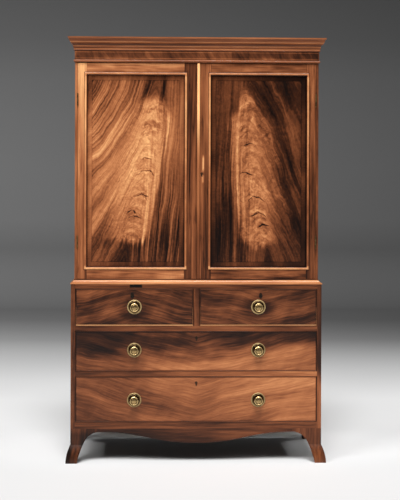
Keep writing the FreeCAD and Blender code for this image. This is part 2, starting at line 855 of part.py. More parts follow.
def make_door(side, meeting_stile, meeting_tools, edge_tools):
    """One door's frame, panel and beads. Side is -1 for the left door and 1 for the right."""
    name = "left_door" if side < 0 else "right_door"
    hinge_edge, hinge_inner = f"{side} * door_edge", f"{side} * (door_edge - outer_stile)"
    free_edge = f"{side} * meeting_edge"
    free_inner = f"{side} * (meeting_edge + {meeting_stile})"
    height = ("door_bottom", "door_top")
    stiles = [rebated(f"{name}_hinge_stile", hinge_edge, hinge_inner, height, edge_tools),
              rebated(f"{name}_meeting_stile", free_edge, free_inner, height, meeting_tools)]
    between = (hinge_inner, free_inner) if side < 0 else (free_inner, hinge_inner)
    rails = [rebated_rail(f"{name}_top_rail", between, "door_top", "door_top - top_rail"),
             rebated_rail(f"{name}_bottom_rail", between, "door_bottom", "door_bottom + foot_rail")]
    frame = group(f"{name}_frame", stiles + rails)
    panel = board(f"{name}_panel", (f"({between[0]}) - panel_rebate", f"({between[1]}) + panel_rebate"),
                  ("upper_front + door_lip", "upper_front + door_lip + panel_board"),
                  ("door_bottom + foot_rail - panel_rebate", "door_top - top_rail + panel_rebate"))
    beads = door_beads(f"{name}_beads", f"({between[0]}) - bead_width", f"({between[1]}) + bead_width")
    return [frame, panel, beads]


def make_doors():
    bolt_middle = "(door_back - lock_depth / 2)"
    half_width, half_depth = "bolt_width / 2 + mortise_play", "bolt_depth / 2 + mortise_play"
    bolt_room = board("door_bolt_mortise",
                      ("-meeting_edge + 1", "-meeting_edge - bolt_throw - 2 * mortise_play"),
                      (f"{bolt_middle} - ({half_depth})", f"{bolt_middle} + {half_depth}"),
                      (f"door_key_height - ({half_width})", f"door_key_height + {half_width}"))
    left_beds = [hinge_bed(f"left_door_bed_{index}", index, -1) for index in range(HINGES)]
    right_beds = [mirror(f"right_door_bed_{index}", bed) for index, bed in enumerate(left_beds)]
    left_leaves = [door_leaf(f"left_door_leaf_{index}", index) for index in range(HINGES)]
    right_leaves = [mirror(f"right_door_leaf_{index}", leaf)
                    for index, leaf in enumerate(left_leaves)]
    pocket = board("door_lock_pocket", ("meeting_edge - 1", "meeting_edge + lock_height"),
                   ("door_back - lock_depth", "door_back + 1"),
                   ("door_key_height - lock_width / 2", "door_key_height + lock_width / 2"))
    case = board("door_lock_plain", ("meeting_edge", "meeting_edge + lock_height"),
                 ("door_back - lock_depth", "door_back"),
                 ("door_key_height - lock_width / 2", "door_key_height + lock_width / 2"))
    channel = board("door_bolt_channel", ("meeting_edge - 1", "meeting_edge + bolt_length + bolt_play"),
                    (f"{bolt_middle} - bolt_depth / 2 - bolt_play",
                     f"{bolt_middle} + bolt_depth / 2 + bolt_play"),
                    ("door_key_height - bolt_width / 2 - bolt_play",
                     "door_key_height + bolt_width / 2 + bolt_play"))
    bolt = board("door_lock_bolt", ("meeting_edge", "meeting_edge + bolt_length"),
                 (f"{bolt_middle} - bolt_depth / 2", f"{bolt_middle} + bolt_depth / 2"),
                 ("door_key_height - bolt_width / 2", "door_key_height + bolt_width / 2"))
    hole = keyhole("door_keyhole", "door_key_place", "upper_front", "door_back - lock_depth",
                   "door_key_height")
    lock = cut("door_lock", case, [channel])
    bead_face = "upper_front - bead_edge"
    astragal = along_z("meeting_astragal", [
        ("meeting_edge", "upper_front"),
        ("meeting_edge", bead_face, f"-{dome('meeting_bead', 'meeting_reach - bead_edge')}"),
        ("meeting_edge + meeting_bead", bead_face),
        ("meeting_edge + meeting_bead", "upper_front"),
    ], "door_bottom", "door_top")
    left = make_door(-1, "left_stile", [bolt_room], left_beds)
    right = make_door(1, "right_stile", [pocket, hole], right_beds)
    return (left + right + [astragal, group("left_door_hinge_leaves", left_leaves),
                            group("right_door_hinge_leaves", right_leaves), lock, bolt])


# ---------------------------------------------------------------------------------------------
# Locks, keyholes and knobs
# ---------------------------------------------------------------------------------------------
def keyhole_outline(x, z):
    """A round hole with a straight slot below it."""
    shoulder = f"({z}) - pow(keyhole_radius ^ 2 - keyhole_slot ^ 2 / 4; 0.5)"
    foot = f"({z}) - keyhole_drop"
    return [
        (f"({x}) - keyhole_slot / 2", shoulder, "keyhole_radius"),
        (x, f"({z}) + keyhole_radius", "keyhole_radius"),
        (f"({x}) + keyhole_slot / 2", shoulder),
        (f"({x}) + keyhole_slot / 2", foot),
        (f"({x}) - keyhole_slot / 2", foot),
    ]


def keyhole(name, x, front, end, z):
    """The hole that the key goes through, from the face back to the lock."""
    return along_y(name, keyhole_outline(x, z), f"({front}) - 1", end)


def drawer_lock(name, x, top):
    """A lock let into the back of a drawer front, its rising bolt, and the room for both."""
    face = ("front_back - lock_depth", "front_back")
    width = (f"({x}) - lock_width / 2", f"({x}) + lock_width / 2")
    plain = board(f"{name}_plain", width, face, (f"({top}) - lock_height", top))
    pocket = board(f"{name}_pocket", width, (face[0], f"{face[1]} + 1"),
                   (f"({top}) - lock_height", f"({top}) + 1"))
    channel = board(f"{name}_channel",
                    (f"({x}) - bolt_width / 2 - bolt_play", f"({x}) + bolt_width / 2 + bolt_play"),
                    (f"{BOLT_MIDDLE} - bolt_depth / 2 - bolt_play",
                     f"{BOLT_MIDDLE} + bolt_depth / 2 + bolt_play"),
                    (f"({top}) - bolt_length - bolt_play", f"({top}) + 1"))
    bolt = board(f"{name}_bolt", (f"({x}) - bolt_width / 2", f"({x}) + bolt_width / 2"),
                 (f"{BOLT_MIDDLE} - bolt_depth / 2", f"{BOLT_MIDDLE} + bolt_depth / 2"),
                 (f"({top}) - bolt_length", top))
    hole = keyhole(f"{name}_keyhole", x, "case_front", "front_back - lock_depth",
                   f"({top}) - key_drop")
    return cut(name, plain, [channel]), bolt, [pocket, hole]


def knob(name, x, z):
    """A turned brass knob standing on a round plate."""
    plate = turned(name + "_plate", [
        ("0", "0"),
        ("0", "plate_radius"),
        ("-plate_reach", "plate_radius"),
        ("-plate_reach", "0"),
    ], x, "case_front", z)
    grip = turned(name + "_grip", [
        ("-plate_reach", "0"),
        ("-knob_reach", "0"),
        ("-knob_reach", "knob_radius - knob_rim"),
        ("-knob_reach + knob_rim", "knob_radius"),
        ("-knob_reach + knob_cheek", "knob_radius"),
        ("-knob_reach + knob_cheek", "knob_neck"),
        ("-plate_reach", "knob_neck"),
    ], x, "case_front", z)
    return [plate, grip]


# ---------------------------------------------------------------------------------------------
# Drawers
# ---------------------------------------------------------------------------------------------
def make_drawer(name, ends, opening, knobs, knob_height, lock_place, tails):
    """A drawer between two places along the front, in an opening from one height to another."""
    left, right = ends
    floor, ceiling = opening
    low, high = f"({floor}) + drawer_gap", f"({ceiling}) - drawer_gap"
    sill, rim = f"({floor}) + runner_play", f"({high}) - side_drop"
    lap = "drawer_front - dovetail_lap"
    sides = [
        dovetailed_side(f"{name}_side_left", (left, f"({left}) + drawer_side"), "front_back",
                        "drawer_end - drawer_back", sill, rim, lap, "drawer_back", tails),
        dovetailed_side(f"{name}_side_right", (f"({right}) - drawer_side", right), "front_back",
                        "drawer_end - drawer_back", sill, rim, lap, "drawer_back", tails),
    ]
    inside = (f"({left}) + drawer_side", f"({right}) - drawer_side")
    base = f"({floor}) + bottom_rise"
    back = board(f"{name}_back_board", (left, right), ("drawer_end - drawer_back", "drawer_end"),
                 (f"{base} + drawer_bottom", f"{rim} - back_drop"))
    bottom = board(f"{name}_bottom", inside, ("front_back", "drawer_end"),
                   (base, f"{base} + drawer_bottom"))
    box = group(f"{name}_box", sides + [cut(f"{name}_back", back, sides), bottom])
    lock, bolt, room = drawer_lock(f"{name}_lock", lock_place, high)
    brass = []
    for index, place in enumerate(knobs):
        brass += knob(f"{name}_knob_{index + 1}", place, knob_height)
    plain = board(f"{name}_front_board", (left, right), ("case_front", "front_back"), (low, high))
    front = cut(f"{name}_front", plain, sides + room)
    return [front, box, group(f"{name}_knobs", brass), lock, bolt]


def make_drawers():
    pair = ["-knob_place", "knob_place"]
    return (
        make_drawer("left_short_drawer", ("-long_half", "-short_inner"), ("top_floor", "top_ceiling"),
                    ["-short_middle"], "top_ceiling - short_knob_drop", "-short_lock", 3)
        + make_drawer("right_short_drawer", ("short_inner", "long_half"), ("top_floor", "top_ceiling"),
                      ["short_middle"], "top_ceiling - short_knob_drop", "short_lock", 3)
        + make_drawer("upper_long_drawer", ("-long_half", "long_half"),
                      ("middle_floor", "middle_ceiling"), pair, "middle_floor + middle_knob_rise", "0", 3)
        + make_drawer("lower_long_drawer", ("-long_half", "long_half"), ("deep_floor", "deep_ceiling"),
                      pair, "deep_floor + deep_knob_rise", "0", 4)
    )


# ---------------------------------------------------------------------------------------------
# Cornice
# ---------------------------------------------------------------------------------------------
def stacked(steps):
    """Corners of a section from (reach, rise, bend) steps, each starting where the last ended."""
    corners = []
    height = "0"
    for reach, rise, bend in steps:
        corner = (f"cornice_reach - ({reach})", height)
        corners.append(corner if bend is None else (*corner, bend))
        height = f"{height} + {rise}"
    return corners, height


def make_cornice():
    """The frame of the frieze, its mouldings and the dust board on top."""
    height = ("upper_top", "press_top - cap_recess")
    inner = "frieze_front + frieze_board"
    frieze_side = board("frieze_left", ("-frieze_half", "-frieze_half + frieze_board"),
                        (inner, "case_back"), height)
    frieze = group("frieze", [
        board("frieze_front_board", ("-frieze_half", "frieze_half"), ("frieze_front", inner), height),
        frieze_side,
        mirror("frieze_right", frieze_side),
        board("frieze_rear", ("-frieze_half + frieze_board", "frieze_half - frieze_board"),
              ("case_back - frieze_board", "case_back"), height),
    ])
    cap = board("cornice_top_board", ("-frieze_half", "frieze_half"), ("frieze_front", "case_back"),
                ("press_top - cap_recess", "press_top"))
    rises, height = stacked([
        ("0", "0", None),
        ("astragal_neck", "cornice_astragal", f"cornice_astragal * {ROUND}"),
        ("astragal_neck", "0", None),
        ("astragal_reach", "cornice_step", None),
        ("astragal_reach", "0", None),
        ("cornice_bead_reach", "cornice_bead", f"cornice_bead * {ROUND}"),
        ("cornice_bead_reach", "0", None),
        ("cavetto_foot", "cornice_cavetto", "-cavetto_radius"),
        ("cavetto_head", "0", None),
        ("fillet_reach", "cornice_fillet", None),
        ("fillet_reach", "0", None),
        ("cyma_foot", "cornice_cyma / 2", "cyma_radius"),
        ("cyma_middle", "cornice_cyma / 2", "-cyma_radius"),
        ("cyma_head", "0", None),
        ("cornice_reach", "cornice_cap", None),
        ("cornice_reach", "0", None),
    ])
    section = rises + [("cornice_reach", height)]
    crown = surround("crown", section, "cornice_reach", "frieze_half", "frieze_front", "cornice_base")
    bead = [
        ("astragal_reach", "0"),
        ("astragal_reach", "astragal_rise"),
        ("astragal_neck", "astragal_rise"),
        ("astragal_neck", "astragal_rise - 2 * astragal_quirk", "-astragal_radius"),
        ("astragal_neck", "astragal_quirk"),
        ("astragal_neck", "0"),
    ]
    lower = surround("lower_bead", bead, "astragal_reach", "frieze_half", "frieze_front",
                     "upper_top + door_gap")
    return [frieze, cap, group("cornice_mouldings", crown + lower)]


# ---------------------------------------------------------------------------------------------
# The whole press
# ---------------------------------------------------------------------------------------------
nodes = make_base() + make_lower_case() + make_waist() + make_upper_case()
nodes += [make_tray(index) for index in range(TRAYS)]
nodes += make_doors() + make_drawers() + make_cornice()
document.recompute()

for thing in document.Objects:
    if "Invalid" in thing.State or "Error" in thing.State:
        raise RuntimeError(f"{thing.Label} failed: {thing.State}")
for node in nodes:
    if node.Shape.isNull() or not node.Shape.isValid():
        raise RuntimeError(f"{node.Label} has no valid shape")

os.makedirs("parts", exist_ok=True)
for node in nodes:
    node.Shape.exportStep(f"parts/{node.Label}.step")
whole = Part.makeCompound([node.Shape for node in nodes]).BoundBox
print(f"{len(nodes)} nodes, {whole.XLength:.1f} x {whole.YLength:.1f} x {whole.ZLength:.1f} mm")
print(f"X {whole.XMin:.2f} to {whole.XMax:.2f}, Y {whole.YMin:.2f} to {whole.YMax:.2f}, "
      f"Z {whole.ZMin:.2f} to {whole.ZMax:.2f}")
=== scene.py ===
"""A mahogany linen press: its finishes, brass, beads and small fittings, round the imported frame."""
import math

import bmesh
import bpy
from mathutils import Matrix, Vector


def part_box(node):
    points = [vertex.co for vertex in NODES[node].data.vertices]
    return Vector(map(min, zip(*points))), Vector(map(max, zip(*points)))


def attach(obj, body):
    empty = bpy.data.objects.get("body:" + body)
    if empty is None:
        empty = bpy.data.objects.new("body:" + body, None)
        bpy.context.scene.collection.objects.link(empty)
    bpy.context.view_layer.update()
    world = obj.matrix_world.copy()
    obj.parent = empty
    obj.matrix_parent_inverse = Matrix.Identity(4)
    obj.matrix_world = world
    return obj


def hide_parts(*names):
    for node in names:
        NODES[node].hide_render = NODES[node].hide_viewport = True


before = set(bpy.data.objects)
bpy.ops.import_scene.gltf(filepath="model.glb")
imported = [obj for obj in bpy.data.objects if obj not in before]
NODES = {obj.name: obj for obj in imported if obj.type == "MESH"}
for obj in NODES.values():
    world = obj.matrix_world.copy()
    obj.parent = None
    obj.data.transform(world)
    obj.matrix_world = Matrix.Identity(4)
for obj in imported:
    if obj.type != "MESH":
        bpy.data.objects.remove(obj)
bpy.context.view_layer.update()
DRAWERS = ("left_short_drawer", "right_short_drawer", "upper_long_drawer", "lower_long_drawer")
TRAYS = [f"linen_tray_{number}" for number in range(1, 5)]

# Places that several pieces and finishes share, in metres.
PANEL_REBATE = 0.01
KNOB_PLACE = 0.303
EYE_DROP = 0.03
LOCK_SHIFT = 0.011
DOOR_KEY = (0.024, 1.411)
HAIR = 0.0005

# ------------------------------------------------
# Camera: at eye height, a little to the left of the middle, and turned slightly to the right
# ------------------------------------------------
CAMERA_PLACE = (-0.1595, -6.0883, 1.4034)
CAMERA_TURN = math.radians(1.708)
CAMERA_ROLL = math.radians(0.205)
LENS = 86.07
SENSOR = 36
DROP = -0.1496


def place_object(name, data):
    """A new object in the scene."""
    made = bpy.data.objects.new(name, data)
    bpy.context.scene.collection.objects.link(made)
    return made


def set_camera():
    """Stand the camera at eye height, level, so that uprights stay upright."""
    data = bpy.data.cameras.new("camera")
    data.sensor_width = SENSOR
    data.lens = LENS
    data.shift_y = DROP
    camera = place_object("camera", data)
    camera.location = CAMERA_PLACE
    turn = Matrix.Rotation(-CAMERA_TURN, 4, "Z") @ Matrix.Rotation(math.pi / 2, 4, "X")
    camera.rotation_euler = (turn @ Matrix.Rotation(CAMERA_ROLL, 4, "Z")).to_euler()
    bpy.context.scene.camera = camera


# ------------------------------------------------
# Finishes: the sums that a grain is made of
# ------------------------------------------------
class Amount:
    """A number that varies over a surface. Sums of amounts add the nodes that work them out."""

    def __init__(self, finish, socket):
        self.finish = finish
        self.socket = socket

    def math(self, operation, *others):
        node = self.finish.add("ShaderNodeMath")
        node.operation = operation
        for socket, value in zip(node.inputs, (self, *others)):
            self.finish.feed(socket, value)
        return Amount(self.finish, node.outputs[0])

    def __add__(self, other):
        return self.math("ADD", other)

    def __sub__(self, other):
        return self.math("SUBTRACT", other)

    def __rsub__(self, other):
        return (self * -1) + other

    def __mul__(self, other):
        return self.math("MULTIPLY", other)

    def __truediv__(self, other):
        return self.math("DIVIDE", other)

    __radd__ = __add__
    __rmul__ = __mul__

    def least(self, other):
        return self.math("MINIMUM", other)

    def most(self, other):
        return self.math("MAXIMUM", other)

    def size(self):
        return self.math("ABSOLUTE")

    def root(self):
        return self.math("SQRT")

    def whole(self):
        return self.math("FLOOR")

    def above(self, other):
        return self.math("GREATER_THAN", other)

    def within(self, low, high):
        """How far inside the stretch from low to high this is."""
        return (self - low).least(high - self)

    def rise(self, low, high):
        """0 below low, 1 above high and smooth between; falls instead where low is over high."""
        node = self.finish.add("ShaderNodeMapRange")
        node.interpolation_type = "SMOOTHSTEP"
        up = low < high
        for name, value in (("Value", self), ("From Min", min(low, high)), ("From Max", max(low, high)),
                            ("To Min", 0 if up else 1), ("To Max", 1 if up else 0)):
            self.finish.feed(node.inputs[name], value)
        return Amount(self.finish, node.outputs[0])

    def toward(self, other, share):
        """This amount where the share is 0 and the other where it is 1."""
        return self + (other - self) * share


class Finish:
    """A material while its nodes are being put together."""

    def __init__(self, name):
        self.material = bpy.data.materials.new(name)
        self.material.use_nodes = True
        self.tree = self.material.node_tree
        self.shader = self.tree.nodes["Principled BSDF"]
        place = self.add("ShaderNodeTexCoord").outputs["Object"]
        parts = self.add("ShaderNodeSeparateXYZ")
        self.tree.links.new(place, parts.inputs[0])
        self.x, self.y, self.z = (Amount(self, socket) for socket in parts.outputs)

    def add(self, kind):
        return self.tree.nodes.new(kind)

    def feed(self, socket, value):
        """Join an amount to a socket, or write a plain number in it."""
        if isinstance(value, Amount):
            self.tree.links.new(value.socket, socket)
        else:
            socket.default_value = value

    def point(self, x, y, z):
        node = self.add("ShaderNodeCombineXYZ")
        for socket, value in zip(node.inputs, (x, y, z)):
            self.feed(socket, value)
        return node.outputs[0]

    def noise(self, x, y, z, detail=2.0, roughness=0.5, distortion=0.0):
        """Cloudy noise about 0.5, at the given place."""
        node = self.add("ShaderNodeTexNoise")
        self.tree.links.new(self.point(x, y, z), node.inputs["Vector"])
        node.inputs["Scale"].default_value = 1
        node.inputs["Detail"].default_value = detail
        node.inputs["Roughness"].default_value = roughness
        node.inputs["Distortion"].default_value = distortion
        return Amount(self, node.outputs["Fac"])

    def grit(self, scale, detail, roughness):
        """Noise of one scale every way."""
        return self.noise(self.x * scale, self.y * scale, self.z * scale, detail, roughness)

    def chance(self, step):
        """A number that is the same all over each whole step."""
        node = self.add("ShaderNodeTexWhiteNoise")
        node.noise_dimensions = "2D"
        self.tree.links.new(self.point(step, 0, 0), node.inputs["Vector"])
        return Amount(self, node.outputs["Value"])

    def tint(self, amount, stops):
        """The colour that the stops, each a place and a colour, give for an amount."""
        node = self.add("ShaderNodeValToRGB")
        self.feed(node.inputs[0], amount)
        points = node.color_ramp.elements
        while len(points) < len(stops):
            points.new(0.5)
        for point, (place, colour) in zip(points, stops):
            point.position = place
            point.color = colour
        return node.outputs[0]

    def colour(self, amount, stops):
        self.tree.links.new(self.tint(amount, stops), self.shader.inputs["Base Color"])

    def blend(self, amount, stops, other, other_stops, share):
        """One colour where the share is 0 and the other where it is 1."""
        node = self.add("ShaderNodeMix")
        node.data_type = "RGBA"
        self.feed(node.inputs["Factor"], share)
        sockets = [socket for socket in node.inputs if socket.type == "RGBA"]
        self.tree.links.new(self.tint(amount, stops), sockets[0])
        self.tree.links.new(self.tint(other, other_stops), sockets[1])
        result = [socket for socket in node.outputs if socket.type == "RGBA"][0]
        self.tree.links.new(result, self.shader.inputs["Base Color"])

    def relief(self, height, distance):
        """Fine roughness of the surface, as deep as the distance."""
        node = self.add("ShaderNodeBump")
        node.inputs["Distance"].default_value = distance
        node.inputs["Strength"].default_value = 1
        self.feed(node.inputs["Height"], height)
        self.tree.links.new(node.outputs[0], self.shader.inputs["Normal"])

    def gloss(self, roughness, coat=0.0, coat_roughness=0.1, specular=0.5, metallic=0.0):
        """How the surface shines. Roughness and metallic may be amounts."""
        self.feed(self.shader.inputs["Roughness"], roughness)
        self.shader.inputs["Coat Weight"].default_value = coat
        self.shader.inputs["Coat Roughness"].default_value = coat_roughness
        self.shader.inputs["Specular IOR Level"].default_value = specular
        self.feed(self.shader.inputs["Metallic"], metallic)


SHADES = (0.0, 0.1, 0.2, 0.3, 0.4, 0.5, 0.6, 0.7, 0.8, 0.92)


def mahogany_stops():
    """Mahogany from its darkest to its palest, redder where dark and more golden where pale."""
    stops = []
    for shade in SHADES:
        light = max(shade ** 2.2 - 0.012, 0.001 + 0.02 * shade)
        gold = min(light / 0.45, 1)
        stops.append((shade, (light * (2.45 - 0.75 * gold), light * (0.66 + 0.17 * gold),
                              light * (0.22 + 0.12 * gold), 1)))
    return stops


def pores(finish, way):
    """Fine open pores: short dark dashes along the grain."""
    along, first, second = ordered(finish, way)
    return finish.noise(along * 26, first * 900, second * 900, 2, 0.6).rise(0.36, 0.46)


def ordered(finish, way):
    """The place along the grain, then across it both ways."""
    places = {"x": finish.x, "y": finish.y, "z": finish.z}
    along = places.pop(way)
    return (along, *places.values())


def streaks(finish, way, seed, length=1.6, width=38.0, wander=0.012):
    """Long soft streaks along the grain, that wander a little."""
    along, first, second = ordered(finish, way)
    drift = (finish.noise(along * 1.3, seed, first * 2, 2) - 0.5) * wander * 4
    aside, back = first + drift, second + drift
    broad = finish.noise(along * length, aside * width * 0.3, back * width * 0.3 + seed, 3, 0.55)
    fine = finish.noise(along * length * 2.5, aside * width * 2.2, back * width * 2.2 + seed, 3, 0.6)
    return (broad - 0.5) * 1.5 + (fine - 0.5) * 1.1


MITRE = 0.365
MITRE_LINE = 0.0006


def turned_streaks(finish, seed, width=38.0):
    """Streaks along X at the front that run along Y on the returns, with a mitre between."""
    side = (finish.x.size() + finish.y).rise(MITRE - MITRE_LINE, MITRE + MITRE_LINE)
    level = streaks(finish, "x", seed, width=width)
    returning = streaks(finish, "y", seed + 4, width=width)
    return level.toward(returning, side)


SHEEN = 0.16
SHEEN_ROUGH = 0.14


def polish(finish, shade, way):
    """French polish over mahogany of the given shade, with pores along the grain."""
    open_pores = pores(finish, way)
    finish.colour(shade * (0.9 + 0.1 * open_pores), mahogany_stops())
    finish.gloss(0.5 - 0.1 * open_pores - 0.1 * shade, coat=SHEEN, coat_roughness=SHEEN_ROUGH,
                 specular=0.18)
    finish.relief(open_pores, 0.00008)
    return finish.material


def plain_mahogany(name, way, shade, contrast, seed):
    """Straight-grained mahogany, with the faint cross ripple that light brings out."""
    finish = Finish(name)
    along, first, second = ordered(finish, way)
    ripple = finish.noise(along * 42, first * 9 + seed, second * 9, 1.5, 0.5) - 0.5
    tone = shade + streaks(finish, way, seed) * contrast + ripple * 0.1
    return polish(finish, tone, way)


def painted_edge_light(name, node, least, most, start, end):
    """Upright mahogany with painted light and shade along its front edge, changed by least at the height
    start and most at end.
    """
    finish = Finish(name)
    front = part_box(node)[0].y
    edge = finish.y.rise(front + 0.0015, front + 0.0005)
    # Painted light and shade along the front edge.
    painted_light = edge * (finish.z.rise(start, end) * (most - least) + least)
    return polish(finish, 0.29 + painted_light + streaks(finish, "z", 5.0) * 0.34, "z")


def drawer_rail(name):
    """Rails between the drawers: the lower ones pale towards the right."""
    finish = Finish(name)
    paler = finish.x.rise(-0.45, 0.5) * 0.26 - 0.08
    tone = 0.33 + finish.z.rise(0.62, 0.5) * paler - finish.z.rise(0.3, 0.2) * (paler * 0.7 + 0.03)
    return polish(finish, tone + streaks(finish, "x", 3.0) * 0.34, "x")


def base_finish(name, way, shade, seed):
    """Mahogany near the floor: painted shade on the faces behind the front, and paler towards the right.
    """
    finish = Finish(name)
    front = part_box("front_apron")[0].y
    tone = shade + streaks(finish, way, seed) * 0.3 + finish.x.rise(-0.5, 0.6) * 0.11
    # Painted shade: darker on the faces that stand behind the front, under the case.
    tone = tone - finish.y.rise(front + 0.002, front + 0.02) * finish.x.size().rise(0.6, 0.58) * 0.14
    tone = tone + finish.z.rise(0.13, 0.16) * finish.x.rise(0.1, -0.2) * 0.07
    tone = tone + finish.x.rise(0.5, 0.6) * 0.045
    return polish(finish, tone, way)


DIRT_AND_SHADE = (0.012, 0.008, 0.005, 1)
SHADED_BELOW = (0.172, 0.164)


def bare_wood(name, way, colours, seed, boards=None, width=30.0, lip=None):
    """Unpolished secondary wood: growth lines, a few darker boards, grime, and painted shade low down
    under the case.

    A lip is the place in Y in front of which the wood is faced with mahogany.
    """
    finish = Finish(name)
    along, first, second = ordered(finish, way)
    tone = 0.5 + streaks(finish, way, seed, 0.9, width) * 0.55
    if boards:
        low, pitch = boards
        place = (finish.x - low) / pitch
        tone = tone + (finish.chance(place.whole()) - 0.5) * 0.5
        seam = (place - place.whole() - 0.5).size()
        tone = tone - seam.rise(0.49, 0.498) * 0.4
    rings = finish.noise(along * 0.8, first * 90, second * 90 + seed, 1.5, 0.5)
    grime = finish.noise(finish.x * 4, finish.y * 4, finish.z * 4 + seed, 4, 0.6).rise(0.5, 0.75)
    # Painted shade: everything below the case's bottom board is darkened nearly to black.
    tone = tone + (rings - 0.5) * 0.35 - grime * 0.16 - finish.z.rise(*SHADED_BELOW) * 0.75
    stops = [(0.0, DIRT_AND_SHADE), (0.1, colours[0]), (0.5, colours[1]), (0.9, colours[2])]
    if lip is None:
        finish.colour(tone, stops)
    else:
        faced = 0.36 + streaks(finish, "x", seed, 1.6, 60) * 0.3
        finish.blend(tone, stops, faced, mahogany_stops(), finish.y.rise(lip, lip - 0.0004))
    finish.gloss(0.82 - 0.1 * rings, specular=0.25)
    finish.relief(rings, 0.0002)
    return finish.material


# ------------------------------------------------
# The flame veneer of the door panels
# ------------------------------------------------
BAND = 0.024
STRING = 0.0016
BAND_SEAM = 0.0008


def flame_panel(name, node, look):
    """Crotch veneer with a pale plume on a darker ground, in a crossbanded border.

    The plume's spine runs from foot to tip. Streaks fall away from it, outward on one side and
    nearly straight down on the other. Side is -1 where outward is to the left.
    """
    finish = Finish(name)
    x, z = finish.x, finish.z
    seed, foot, tip = look["seed"], look["foot"], look["tip"]

    # The spine, and the streaks that fall away from it.
    wander = finish.noise(x * 7, seed, z * 3.2, 4, 0.6) - 0.5
    swing = finish.noise(x * 2.1, seed + 7, z * 1.1, 2, 0.5) - 0.5
    rise = (z - foot[1]) / (tip[1] - foot[1])
    spine = rise * (tip[0] - foot[0]) + foot[0] + rise * (1 - rise) * look["bow"]
    away = (x - spine) * look["side"]
    out = away + wander * 0.045 + swing * 0.05
    arm = (out * out + 0.0009).root()
    low_steep, more_steep, bend = look["outward"]
    outward_fall = arm * (z.rise(1.3, 1.9) * more_steep + low_steep - arm * bend)
    fall = (arm * look["inward"]).toward(outward_fall, out.rise(-0.03, 0.03))
    across = (z + fall) * 0.24 + wander * 0.03
    length = z * 2.2
    broad = finish.noise(across * 13, length * 0.6, seed, 2, 0.5)
    middle = finish.noise(across * 46, length, seed + 3, 3, 0.55)
    fine = finish.noise(across * 150, length * 2.2, seed + 5, 3, 0.65)
    barbs = (broad - 0.5) * 1.5 + (middle - 0.5) * 1.5 + (fine - 0.5) * 0.9

    # The outline of the plume.
    ragged = (middle - 0.5) * 0.17 + (broad - 0.5) * 0.13
    squeeze = z.rise(look["squeeze"], tip[1] + 0.02) * look["narrow"]
    belly = (z - look["belly"]).size().rise(0.25, 0.05) * 0.03
    outer_edge = (out + ragged * 1.8 + squeeze - belly).rise(look["reach"] + 0.05, look["reach"] - 0.03)
    inner_edge = away + wander * 0.05 + ragged * 0.2 - squeeze * 0.7
    inner_edge = inner_edge.rise(-look["lean"] - 0.014, -look["lean"] + 0.014)
    tuft = finish.noise(x * 62, z * 9, seed + 21, 3, 0.6) - 0.5
    hem = (x - foot[0]).size() * look["hem"]
    foot_edge = (z + tuft * 0.09 + ragged * 0.35 - hem).rise(foot[1] - 0.02, foot[1] + 0.03)
    droop, tilt, notch = look["shoulder"]
    fallen = out.size() * droop - out * tilt + out.rise(-0.03, -0.05) * notch
    tip_edge = (z + fallen + ragged * 0.6).rise(tip[1] + 0.02, tip[1] - 0.04)
    plume = outer_edge * inner_edge * foot_edge * tip_edge

    # Inside the plume: curl, fine cracks and the arcs across its heart.
    rings = finish.noise(x * 30, z * 30, seed + 31, 2, 0.5)
    arch = z + (out * out + 0.0004).root() * 0.9 + wander * 0.05
    cross = finish.noise(out * 10, arch * 26, seed + 9, 4, 0.6, 1.2)
    curl = finish.noise(x * 34, z * 38, seed + 11, 3, 0.6, 1.8)
    lines = finish.noise(out * 9 + wander * 3, arch * 12, seed + 13, 2, 0.4)
    cracks = (lines - 0.5).size().rise(0.0, 0.026)
    heart = out.size().rise(0.06, 0.028)
    patches = finish.noise(x * 11, z * 15, seed + 23, 2, 0.5).rise(0.42, 0.62)
    figure = (cross - 0.5) * 0.6 * heart + (curl - 0.5) * 0.42 - (1 - cracks) * heart * patches * 0.12
    for height, reach, shift in look["arcs"]:
        aside = (out - shift).size()
        drop = (aside * aside + 0.0006).root()
        bow = (z + drop * 0.85 + (rings - 0.5) * 0.035 - height).size() - rings.rise(0.3, 0.7) * 0.003
        figure = figure - bow.rise(0.0022, 0.0002) * aside.rise(reach, reach * 0.5) * 0.3
    pale = look["pale"] + figure + barbs * 0.44 * (1 - heart * 0.45) + inner_edge.rise(0.98, 0.5) * 0.06
    pale = pale + z.rise(foot[1] + 0.28, foot[1]) * look["dim"]

    # The darker ground round it.
    outside = out.rise(0.05, 0.2)
    tone = look["ground"] + z.rise(1.05, 1.45) * look["middle"] - z.rise(1.6, 1.85) * look["fall"]
    tone = tone + outside * look["outer"] + z.rise(1.6, 1.85) * (1 - outside) * look["inner_top"]
    tone = tone + z.rise(1.3, 1.05) * out.rise(0.04, -0.06) * look["corner"]
    clouds = finish.noise(x * 7, z * 4, seed + 27, 2, 0.5) - 0.5
    fleck = finish.noise(x * 90, z * 60, seed + 29, 2, 0.5) - 0.5
    calm = 1 - out.rise(0.06, -0.05) * z.rise(1.3, 1.6) * 0.5
    shade = tone + barbs * calm * look["contrast"] + (curl - 0.5) * 0.12 + clouds * 0.22 + fleck * 0.12
    shade = shade.toward(pale, plume)
    cleft = (away + 0.026 + wander * 0.05).size().rise(0.014, 0.004)
    shade = shade - cleft * z.rise(tip[1] - 0.14, tip[1] + 0.02) * look["cleft"]

